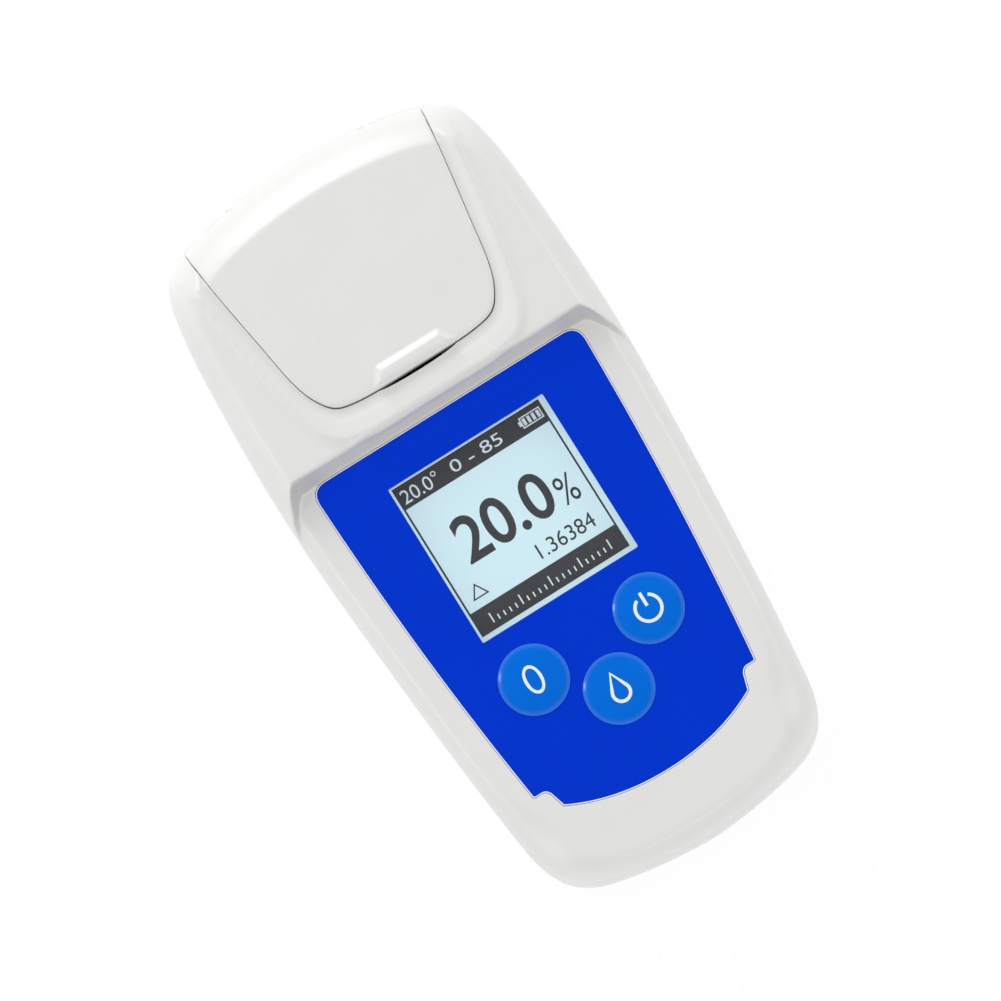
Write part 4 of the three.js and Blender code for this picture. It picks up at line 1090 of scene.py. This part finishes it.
class REFRACTOMETER_OT_overlay(Operator):
    """Cuts the printed overlay with a painted highlight round its cut edge, its window opening and key holes
    """

    bl_idname = "refractometer.overlay"
    bl_label = "Keypad overlay"

    def execute(self, context):
        sizes = context.scene.keypad_sizes
        sheet = loft([overlay_plan(0, recess_z + seat_gap), overlay_plan(0, keypad_z - 0.02 * mm)])
        top = [f for f in sheet.faces if f.normal.z > 0.9 or f.calc_center_median().z > keypad_z - 0.03 * mm]
        # The pale band round the top is the film's cut edge, painted pale as a highlight of light caught
        # there
        inset = bmesh.ops.inset_region(
            sheet, faces=[f for f in top if len(f.verts) > 8], thickness=sizes.edge_highlight_width, depth=0,
            use_even_offset=True,
        )
        for face in inset["faces"]:
            face.material_index = 1
        made = solid(sheet)
        holes = bmesh.new()
        for x, y in key_places():
            column(holes, x, y, sizes.key_radius, 0, tab_z)
        opening = solid(loft([square_plan(window_half + 0.05 * mm, z) for z in (0, tab_z)]))
        cut(made, solid(holes), opening)
        dressed(made, "overlay_sheet", ["overlay", "film edge"], ["keypad_overlay"])
        return {"FINISHED"}


def dome_rise(share):
    """Height of a key's dome above the keypad at a share of its radius."""
    proud = 0.6 * mm
    if share >= 1:
        return 0
    return proud * (0.06 + 0.94 * (1 - share ** 2.6) ** 0.85)


def faced_up(verts, index):
    """Gives the faces at some vertices a material and turns them upwards."""
    for face in {f for v in verts for f in v.link_faces}:
        face.material_index = index
        if face.normal.z < 0:
            face.normal_flip()


def printed(bm, first, second, place, radius):
    """Adds a printed strip between two runs of points, laid on the dome at place."""
    rows = 2
    made = bmesh.ops.create_grid(bm, x_segments=len(first) - 1, y_segments=rows)
    for row in range(rows + 1):
        for i, (a, b) in enumerate(zip(first, second)):
            p = a.lerp(b, row / rows)
            z = keypad_z + dome_rise(p.length / radius) + 0.012 * mm
            made["verts"][row * len(first) + i].co = (place[0] + p.x, place[1] + p.y, z)
    faced_up(made["verts"], 1)


def arc(radius, start, end, steps, squeeze=1.0, centre=(0, 0)):
    """Points of an arc; squeeze narrows it across."""
    points = []
    for step in range(steps + 1):
        angle = math.radians(start + (end - start) * step / steps)
        x, y = squeeze * radius * math.cos(angle), radius * math.sin(angle)
        points.append(Vector((centre[0] + x, centre[1] + y)))
    return points


def power_symbol(stroke):
    """Strips of a ring that is open at the top, and of a bar in its opening."""
    outer, top, foot = 2.25 * mm, 2.6 * mm, 0.35 * mm
    ring = [arc(radius, 118, 422, 64) for radius in (outer, outer - stroke)]
    line = [
        [Vector((side * stroke / 2, foot + (top - foot) * i / 8)) for i in range(9)] for side in (-1, 1)
    ]
    return ring, line


def zero_symbol(stroke):
    """Strip of a narrow zero."""
    outer = arc(2.3 * mm, 0, 360, 64, squeeze=0.62)
    return [(outer, [p * (1 - stroke / p.length) for p in outer])]


def droplet_symbol(stroke):
    """Strip of a drop's outline."""
    centre, point = Vector((0, -0.7 * mm)), Vector((0, 2.8 * mm))
    belly = arc(1.6 * mm, 150, 390, 40, centre=centre)
    left = [point.lerp(belly[0], i / 12) for i in range(12)]
    right = [belly[-1].lerp(point, i / 12) for i in range(1, 13)]
    outer = left + belly + right
    return [(outer, [centre + (p - centre) * (1 - stroke / (p - centre).length) for p in outer])]


class REFRACTOMETER_OT_keys(Operator):
    """Turns the three domed keys and prints their symbols"""

    bl_idname = "refractometer.keys"
    bl_label = "Keys"

    def execute(self, context):
        sizes = context.scene.keypad_sizes
        radius = sizes.key_radius - 0.02 * mm
        flange_z = keypad_z - wall - seat_gap
        flange_low_z, flange_radius = flange_z - 0.5 * mm, radius + 0.7 * mm
        stem_radius, stem_chamfer, just_inside = 1.8 * mm, 0.2 * mm, 0.9999
        dome = [(radius * i / 24, keypad_z + dome_rise(i / 24)) for i in range(24)]
        dome += [(radius, keypad_z + dome_rise(just_inside))]
        symbols = (zero_symbol, power_symbol, droplet_symbol)
        for name, place, symbol in zip(key_names, key_places(), symbols):
            low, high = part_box(f"{name}_button")
            bm = turned(bmesh.new(), [
                (0, low.z), (stem_radius - stem_chamfer, low.z), (stem_radius, low.z + stem_chamfer),
                (stem_radius, flange_low_z), (flange_radius, flange_low_z), (flange_radius, flange_z),
                (radius, flange_z), *reversed(dome),
            ], *place, 96)
            bmesh.ops.recalc_face_normals(bm, faces=bm.faces)
            for first, second in symbol(sizes.stroke):
                printed(bm, first, second, place, radius)
            made = placed(bm, name)
            dressed(made, f"{name}_key", ["key", "white print"], [f"{name}_button"], f"{name}_key")
        return {"FINISHED"}


def lettering(bm, text, low, high, z, index, weight):
    """Adds flat text stretched to fill the box from low to high at level z; weight thickens its strokes."""
    curve = bpy.data.curves.new("lettering", "FONT")
    curve.body = text
    curve.resolution_u = 6
    curve.offset = weight
    holder = bpy.data.objects.new("lettering", curve)
    bpy.context.scene.collection.objects.link(holder)
    graph = bpy.context.evaluated_depsgraph_get()
    mesh = bpy.data.meshes.new_from_object(holder.evaluated_get(graph))
    bpy.data.curves.remove(curve)
    known = set(bm.verts)
    bm.from_mesh(mesh)
    bpy.data.meshes.remove(mesh)
    verts = [v for v in bm.verts if v not in known]
    x0, x1 = min(v.co.x for v in verts), max(v.co.x for v in verts)
    y0, y1 = min(v.co.y for v in verts), max(v.co.y for v in verts)
    for v in verts:
        v.co = (
            low[0] + (v.co.x - x0) / (x1 - x0) * (high[0] - low[0]),
            low[1] + (v.co.y - y0) / (y1 - y0) * (high[1] - low[1]), z,
        )
    faced_up(verts, index)


def bar(bm, x0, x1, y0, y1, z, index):
    """Adds a flat rectangle of the display's graphics."""
    made = bmesh.ops.create_grid(bm, x_segments=1, y_segments=1, size=0.5)
    bmesh.ops.scale(bm, vec=(x1 - x0, y1 - y0, 1), verts=made["verts"])
    bmesh.ops.translate(bm, vec=((x0 + x1) / 2, (y0 + y1) / 2, z), verts=made["verts"])
    faced_up(made["verts"], index)


def outline(bm, x0, x1, y0, y1, line, z, index):
    """Adds four bars round a rectangle."""
    bar(bm, x0, x1, y1 - line, y1, z, index)
    bar(bm, x0, x1, y0, y0 + line, z, index)
    bar(bm, x0, x0 + line, y0 + line, y1 - line, z, index)
    bar(bm, x1 - line, x1, y0 + line, y1 - line, z, index)


class REFRACTOMETER_OT_display(Operator):
    """Makes the display's window, field and reading"""

    bl_idname = "refractometer.display"
    bl_label = "Display"

    def execute(self, context):
        reading = context.scene.display_reading
        flange_low, flange_high = window_low.z, window_low.z + 0.5 * mm
        soft = 0.15 * mm
        pane = solid(loft([
            square_plan(window_half, flange_low), square_plan(window_half, window_top_z - soft),
            square_plan(window_half - soft, window_top_z),
        ]))
        joined(pane, solid(loft([square_plan(window_high.x, z) for z in (flange_low, flange_high)])))
        dressed(pane, "window_pane", ["window"], ["display_window"])

        body = boxed(bmesh.new(), panel_low, panel_high)
        bmesh.ops.bevel(
            body, geom=body.edges[:], offset=0.1 * mm, affect="EDGES", segments=2, profile=0.5, material=-1,
        )
        dressed(solid(body), "display_panel", ["display"], ["lcd_panel"])

        left, right = -13.2 * mm, 12.6 * mm
        top, foot = window_y + 13.45 * mm, window_y - 12.55 * mm
        head_bar, tail_bar = window_y + 9.75 * mm, window_y - 8.65 * mm
        line = 0.3 * mm
        z = panel_high.z + 0.02 * mm
        high_z = z + 0.02 * mm
        marks = bmesh.new()
        outline(marks, left, right, foot, top, line, z, 0)
        bar(marks, left + line, right - line, head_bar, top - line, z, 0)
        bar(marks, left + line, right - line, foot + line, tail_bar, z, 0)
        for text, x0, y0, x1, y1, level, index, weight in (
            (reading.main, -8.9, -2.55, 6.9, 4.85, z, 0, 0.016),
            ("%", 7.6, -2.55, 10.7, 1.95, z, 0, 0),
            (reading.index, 0.5, -7.35, 10.2, -4.95, z, 0, 0),
            (reading.warmth, -12.5, 10.4, -6.2, 12.7, high_z, 1, 0),
            (reading.span, -3.9, 10.6, 4.9, 12.5, high_z, 1, 0),
        ):
            low, high = (x0 * mm, window_y + y0 * mm), (x1 * mm, window_y + y1 * mm)
            lettering(marks, text, low, high, level, index, weight)
        outline(marks, 8.5 * mm, 12.1 * mm, window_y + 10.7 * mm, window_y + 12.5 * mm, 0.2 * mm, high_z, 1)
        bar(marks, 8.15 * mm, 8.5 * mm, window_y + 11.2 * mm, window_y + 12.0 * mm, high_z, 1)
        for cell in range(4):
            x = (8.85 + cell * 0.8) * mm
            bar(marks, x, x + 0.5 * mm, window_y + 11.05 * mm, window_y + 12.15 * mm, high_z, 1)
        tick_foot = foot + 1.0 * mm
        for tick in range(21):
            x = (-10.6 + tick * 1.03) * mm
            bar(marks, x, x + 0.22 * mm, tick_foot, tick_foot + (0.8 if tick % 5 else 1.6) * mm, high_z, 1)
        corners = ((-11.5, -7.3), (-8.7, -7.3), (-10.1, -4.95))
        prism = [Vector((x * mm, window_y + y * mm)) for x, y in corners]
        middle = sum(prism, Vector((0, 0))) / 3
        for a, b in zip(prism, prism[1:] + prism[:1]):
            made = bmesh.ops.create_grid(marks, x_segments=1, y_segments=1)
            inner = [middle + (p - middle) * 0.72 for p in (a, b)]
            for vert, p in zip(made["verts"], (a, b, *inner)):
                vert.co = (p.x, p.y, z)
        for face in marks.faces:
            face.normal_update()
            if face.normal.z < 0:
                face.normal_flip()
        dressed(placed(marks, "marks"), "display_marks", ["display ink", "display light"])
        return {"FINISHED"}


class REFRACTOMETER_OT_well(Operator):
    """Turns the steel sample well and makes its lid and prism seals"""

    bl_idname = "refractometer.well"
    bl_label = "Sample well"

    def execute(self, context):
        soft = 0.15 * mm
        lip_z = well_foot_z + 0.4 * mm
        dish = turned(bmesh.new(), [
            (well_bore_radius, well_foot_z), (well_foot_radius, well_foot_z),
            (well_skirt_radius, well_flange_z - 0.4 * mm), (well_skirt_radius, well_flange_z),
            (well_flange_radius - soft, well_flange_z), (well_flange_radius, well_flange_z + soft),
            (well_flange_radius, deck_z - soft), (well_flange_radius - soft, deck_z),
            (well_rim_radius + 2 * soft, deck_z), (well_rim_radius + soft * 0.6, deck_z - soft * 0.25),
            (well_rim_radius - soft, deck_z - soft), (well_bore_radius + soft, lip_z + soft),
            (well_bore_radius, lip_z - soft * 0.5), (well_bore_radius, well_foot_z),
        ], 0, well_y, 160)
        dressed(solid(dish), "well_dish", ["turned steel"], ["sample_well"], crease=50)

        ring_low, ring_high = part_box("prism_seal")
        for name, node, low, high, width, body in (
            ("lid_gasket", "lid_seal", seal_low, seal_high, 1.4 * mm, "lid"),
            ("prism_gasket", "prism_seal", ring_low, ring_high, 1.0 * mm, "case"),
        ):
            section = []
            for step in range(25):
                angle = 2 * math.pi * step / 24
                x, z = (math.copysign(abs(part) ** 0.5, part) for part in (math.cos(angle), math.sin(angle)))
                radius = high.x - width / 2 + width / 2 * x
                section.append((radius, (low.z + high.z) / 2 + (high.z - low.z) / 2 * z))
            ring = turned(bmesh.new(), section, 0, well_y, 96)
            dressed(solid(ring), name, ["black rubber"], [node], body)
        return {"FINISHED"}


def soft_disc(radius, z, soft):
    """Profile of a disc's lower face with its edge rounded by soft."""
    return [(0, z), (radius - soft, z), (radius - 0.3 * soft, z + 0.3 * soft), (radius, z + soft)]


class REFRACTOMETER_OT_feet(Operator):
    """Turns the four rubber feet"""

    bl_idname = "refractometer.feet"
    bl_label = "Feet"

    def execute(self, context):
        for i, (x, y) in enumerate(node_places("foot", 4)):
            low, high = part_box(f"foot_{i + 1}")
            radius = (high.x - low.x) / 2
            profile = soft_disc(radius, low.z, 0.3 * mm) + [(radius, high.z), (0, high.z)]
            pad = turned(bmesh.new(), profile, x, y, 64)
            dressed(solid(pad), f"pad_{i + 1}", ["grey rubber"], [f"foot_{i + 1}"])
        return {"FINISHED"}


class REFRACTOMETER_OT_case_screws(Operator):
    """Turns the four case screws and cuts their cross recesses"""

    bl_idname = "refractometer.case_screws"
    bl_label = "Case screws"

    def execute(self, context):
        shaft, head_height, soft, recess_depth = 1.1 * mm, 1.4 * mm, 0.35 * mm, 0.9 * mm
        arm, slot = 1.2 * mm, 0.28 * mm
        quarter = (Vector((arm, slot)), Vector((slot, slot)), Vector((slot, arm)))
        turns = [Matrix.Rotation(turn * math.pi / 2, 2) for turn in range(4)]
        cross = [spin @ p for spin in turns for p in quarter]
        for i, (x, y) in enumerate(node_places("case_screw", 4)):
            low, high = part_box(f"case_screw_{i + 1}")
            radius = (high.x - low.x) / 2
            head_z = low.z + head_height
            blank = turned(bmesh.new(), soft_disc(radius, low.z, soft) + [
                (radius, head_z), (shaft, head_z), (shaft, high.z - shaft), (0.2 * shaft, high.z),
                (0, high.z),
            ], x, y, 48)
            recess = solid(loft([
                [Vector((x + p.x * share, y + p.y * share, z)) for p in cross]
                for share, z in ((1, low.z - soft), (1, low.z), (0.5, low.z + recess_depth))
            ]))
            screw = cut(solid(blank), recess)
            dressed(screw, f"cover_screw_{i + 1}", ["plated steel"], [f"case_screw_{i + 1}"])
        return {"FINISHED"}


class REFRACTOMETER_OT_batteries(Operator):
    """Turns the two batteries with their sleeves, bands and raised plus ends"""

    bl_idname = "refractometer.batteries"
    bl_label = "Batteries"

    def execute(self, context):
        nub, nub_height, fold, soft, band_share = 1.9 * mm, 0.9 * mm, 0.8 * mm, 0.15 * mm, 0.76
        for i, towards in ((1, 1), (2, -1)):
            low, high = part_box(f"battery_{i}")
            radius, length = (high.x - low.x) / 2, high.y - low.y
            face_radius, end = radius - fold, length - nub_height
            cell = turned(bmesh.new(), [
                (0, 0), (face_radius, 0), (face_radius, soft), (radius - 2 * soft, soft), (radius, 3 * soft),
                (radius, end - 3 * soft), (radius - 2 * soft, end), (face_radius, end),
                (face_radius, end - soft), (nub + soft, end - soft), (nub, end), (nub, length - soft),
                (nub - soft, length), (0, length),
            ], 0, 0)
            for face in cell.faces:
                middle = face.calc_center_median()
                if middle.xy.length < face_radius:
                    face.material_index = 2
                elif middle.z > band_share * length:
                    face.material_index = 1
            start = low.y if towards > 0 else high.y
            place = Matrix.Translation(((low.x + high.x) / 2, start, (low.z + high.z) / 2))
            cell.transform(place @ Matrix.Rotation(-towards * math.pi / 2, 4, "X"))
            materials = ["battery", "battery band", "plated steel"]
            dressed(solid(cell), f"cell_{i}", materials, [f"battery_{i}"])
        return {"FINISHED"}


class REFRACTOMETER_OT_inner_works(Operator):
    """Gives the pieces that keep their CAD shape their materials"""

    bl_idname = "refractometer.inner_works"
    bl_label = "Inner works"

    def execute(self, context):
        groups = {
            "black plastic": ["lcd_frame", "microcontroller", "optical_block", "light_sensor", "thermistor"],
            "grey rubber": ["case_seal", "lcd_strip_upper", "lcd_strip_lower"],
            "circuit board": ["main_board", "led_board", "sensor_board"],
            "optical glass": ["prism", "lens", "led"],
            "ribbon": ["sensor_ribbon"],
            "cable": ["led_cable"],
            "plated steel": [
                "hinge_pin_left", "hinge_pin_right", "battery_spring_1", "battery_spring_2", "contact_plus",
                "contact_minus", "contact_link", "block_screw_left", "block_screw_right",
                *(f"{name}_switch" for name in key_names),
                *(f"board_screw_{i}" for i in range(1, 5)),
            ],
        }
        for name, nodes in groups.items():
            for node in nodes:
                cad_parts[node].material_slots[0].material = finish(name)
        return {"FINISHED"}


# Each lamp's name, its direction round the object and its lean from overhead in degrees, its width and power
lamps = (
    ("head_lamp", 90, 66, 0.5, 3.8),
    ("rear_lamp", 90, 85, 0.4, 0.8),
    ("tail_lamp", 270, 58, 0.5, 2.1),
    ("left_lamp", 180, 70, 0.5, 1.7),
    ("right_lamp", 0, 70, 0.5, 1.7),
    ("glint_lamp", 140, 37, 0.09, 0.4),
)
lamp_distance = 0.9
tent_strength = 0.47


def lamp(name, place, size, power, aim):
    """Adds a round soft lamp that shines from a place at an aim."""
    light = bpy.data.lights.new(name, "AREA")
    light.shape = "DISK"
    light.size = size
    light.energy = power
    made = bpy.data.objects.new(name, light)
    bpy.context.scene.collection.objects.link(made)
    made.location = place
    made.rotation_mode = "QUATERNION"
    made.rotation_quaternion = (Vector(aim) - Vector(place)).to_track_quat("-Z", "Y")


class REFRACTOMETER_OT_stage(Operator):
    """Sets the pale floor, the soft lamps, the world and the camera"""

    bl_idname = "refractometer.stage"
    bl_label = "Stage"

    def execute(self, context):
        scene = context.scene
        settings = scene.stage_settings
        aim = Vector((-0.15 * mm, -0.41 * mm, 11 * mm))

        floor = bmesh.new()
        bmesh.ops.create_grid(floor, x_segments=8, y_segments=8, size=3)
        ground = solid(floor, "floor")
        ground.data.materials.append(backdrop("floor"))

        for name, azimuth, tilt, size, power in lamps:
            turn, lean = math.radians(azimuth), math.radians(tilt)
            out = Vector((math.cos(turn) * math.sin(lean), math.sin(turn) * math.sin(lean), math.cos(lean)))
            lamp(name, aim + out * lamp_distance, size, power, aim)

        scene.world = tent()

        rise = settings.elevation
        back = Vector((0, -math.cos(rise), math.sin(rise)))
        up = Vector((0, math.sin(rise), math.cos(rise)))
        roll = settings.roll
        right_axis = Vector((1, 0, 0)) * math.cos(roll) - up * math.sin(roll)
        up_axis = Vector((1, 0, 0)) * math.sin(roll) + up * math.cos(roll)
        turn = Matrix((right_axis, up_axis, back)).transposed().to_4x4()
        data = bpy.data.cameras.new("camera")
        data.lens = settings.lens
        data.sensor_width = 36
        data.clip_start = 0.01
        camera = bpy.data.objects.new("camera", data)
        scene.collection.objects.link(camera)
        camera.matrix_world = Matrix.Translation(aim + back * settings.distance) @ turn
        scene.camera = camera
        scene.view_settings.view_transform = "Standard"
        return {"FINISHED"}


def tent():
    """World whose light is softer than the white that the camera sees."""
    world = bpy.data.worlds.new("tent")
    world.use_nodes = True
    made = Nodes(world.node_tree)
    white = (1, 1, 1)
    dim = made.add("ShaderNodeBackground", {}, {"Color": white, "Strength": tent_strength})
    bright = made.add("ShaderNodeBackground", {}, {"Color": white, "Strength": 1.0})
    made.blend(made.seen(), dim, bright)
    return world


def backdrop(name):
    """Pale floor that the camera sees as near white, with the object's shadow kept."""
    made = Finish(name, Roughness=0.9)
    made.put("Base Color", made.mix(made.noise(0.3), (0.88, 0.88, 0.88), (0.91, 0.91, 0.91)))
    glow = made.add("ShaderNodeEmission", {}, {"Color": (1, 1, 1), "Strength": 1.03})
    made.blend(made.seen() * 0.88, Signal(made, made.shader.outputs[0]), glow)
    return made.material


class REFRACTOMETER_PT_sidebar(Panel):
    """Lists the refractometer's sizes, finishes and pieces"""

    bl_idname = "REFRACTOMETER_PT_sidebar"
    bl_label = "Refractometer"
    bl_space_type = "VIEW_3D"
    bl_region_type = "UI"
    bl_category = "Refractometer"

    def draw(self, context):
        layout = self.layout
        for group in setting_groups:
            settings = getattr(context.scene, group)
            for name in settings.bl_rna.properties.keys():
                if name not in ("rna_type", "name"):
                    layout.prop(settings, name)
        for operator in piece_operators:
            layout.operator(operator.bl_idname)


setting_groups = {
    "case_sizes": CaseSizes,
    "keypad_sizes": KeypadSizes,
    "display_reading": DisplayReading,
    "finishes": Finishes,
    "stage_settings": StageSettings,
}
piece_operators = (
    REFRACTOMETER_OT_stage,
    REFRACTOMETER_OT_top_cover,
    REFRACTOMETER_OT_bottom_cover,
    REFRACTOMETER_OT_battery_door,
    REFRACTOMETER_OT_lid,
    REFRACTOMETER_OT_overlay,
    REFRACTOMETER_OT_keys,
    REFRACTOMETER_OT_display,
    REFRACTOMETER_OT_well,
    REFRACTOMETER_OT_feet,
    REFRACTOMETER_OT_case_screws,
    REFRACTOMETER_OT_batteries,
    REFRACTOMETER_OT_inner_works,
)


def register():
    for group in setting_groups.values():
        bpy.utils.register_class(group)
    for name, group in setting_groups.items():
        setattr(bpy.types.Scene, name, PointerProperty(type=group))
    for operator in piece_operators:
        bpy.utils.register_class(operator)
    bpy.utils.register_class(REFRACTOMETER_PT_sidebar)


def unregister():
    bpy.utils.unregister_class(REFRACTOMETER_PT_sidebar)
    for operator in reversed(piece_operators):
        bpy.utils.unregister_class(operator)
    for name in setting_groups:
        delattr(bpy.types.Scene, name)
    for group in reversed(setting_groups.values()):
        bpy.utils.unregister_class(group)


def main():
    register()
    for operator in piece_operators:
        module, name = operator.bl_idname.split(".")
        getattr(getattr(bpy.ops, module), name)()
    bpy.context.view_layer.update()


if __name__ == "__main__":
    main()
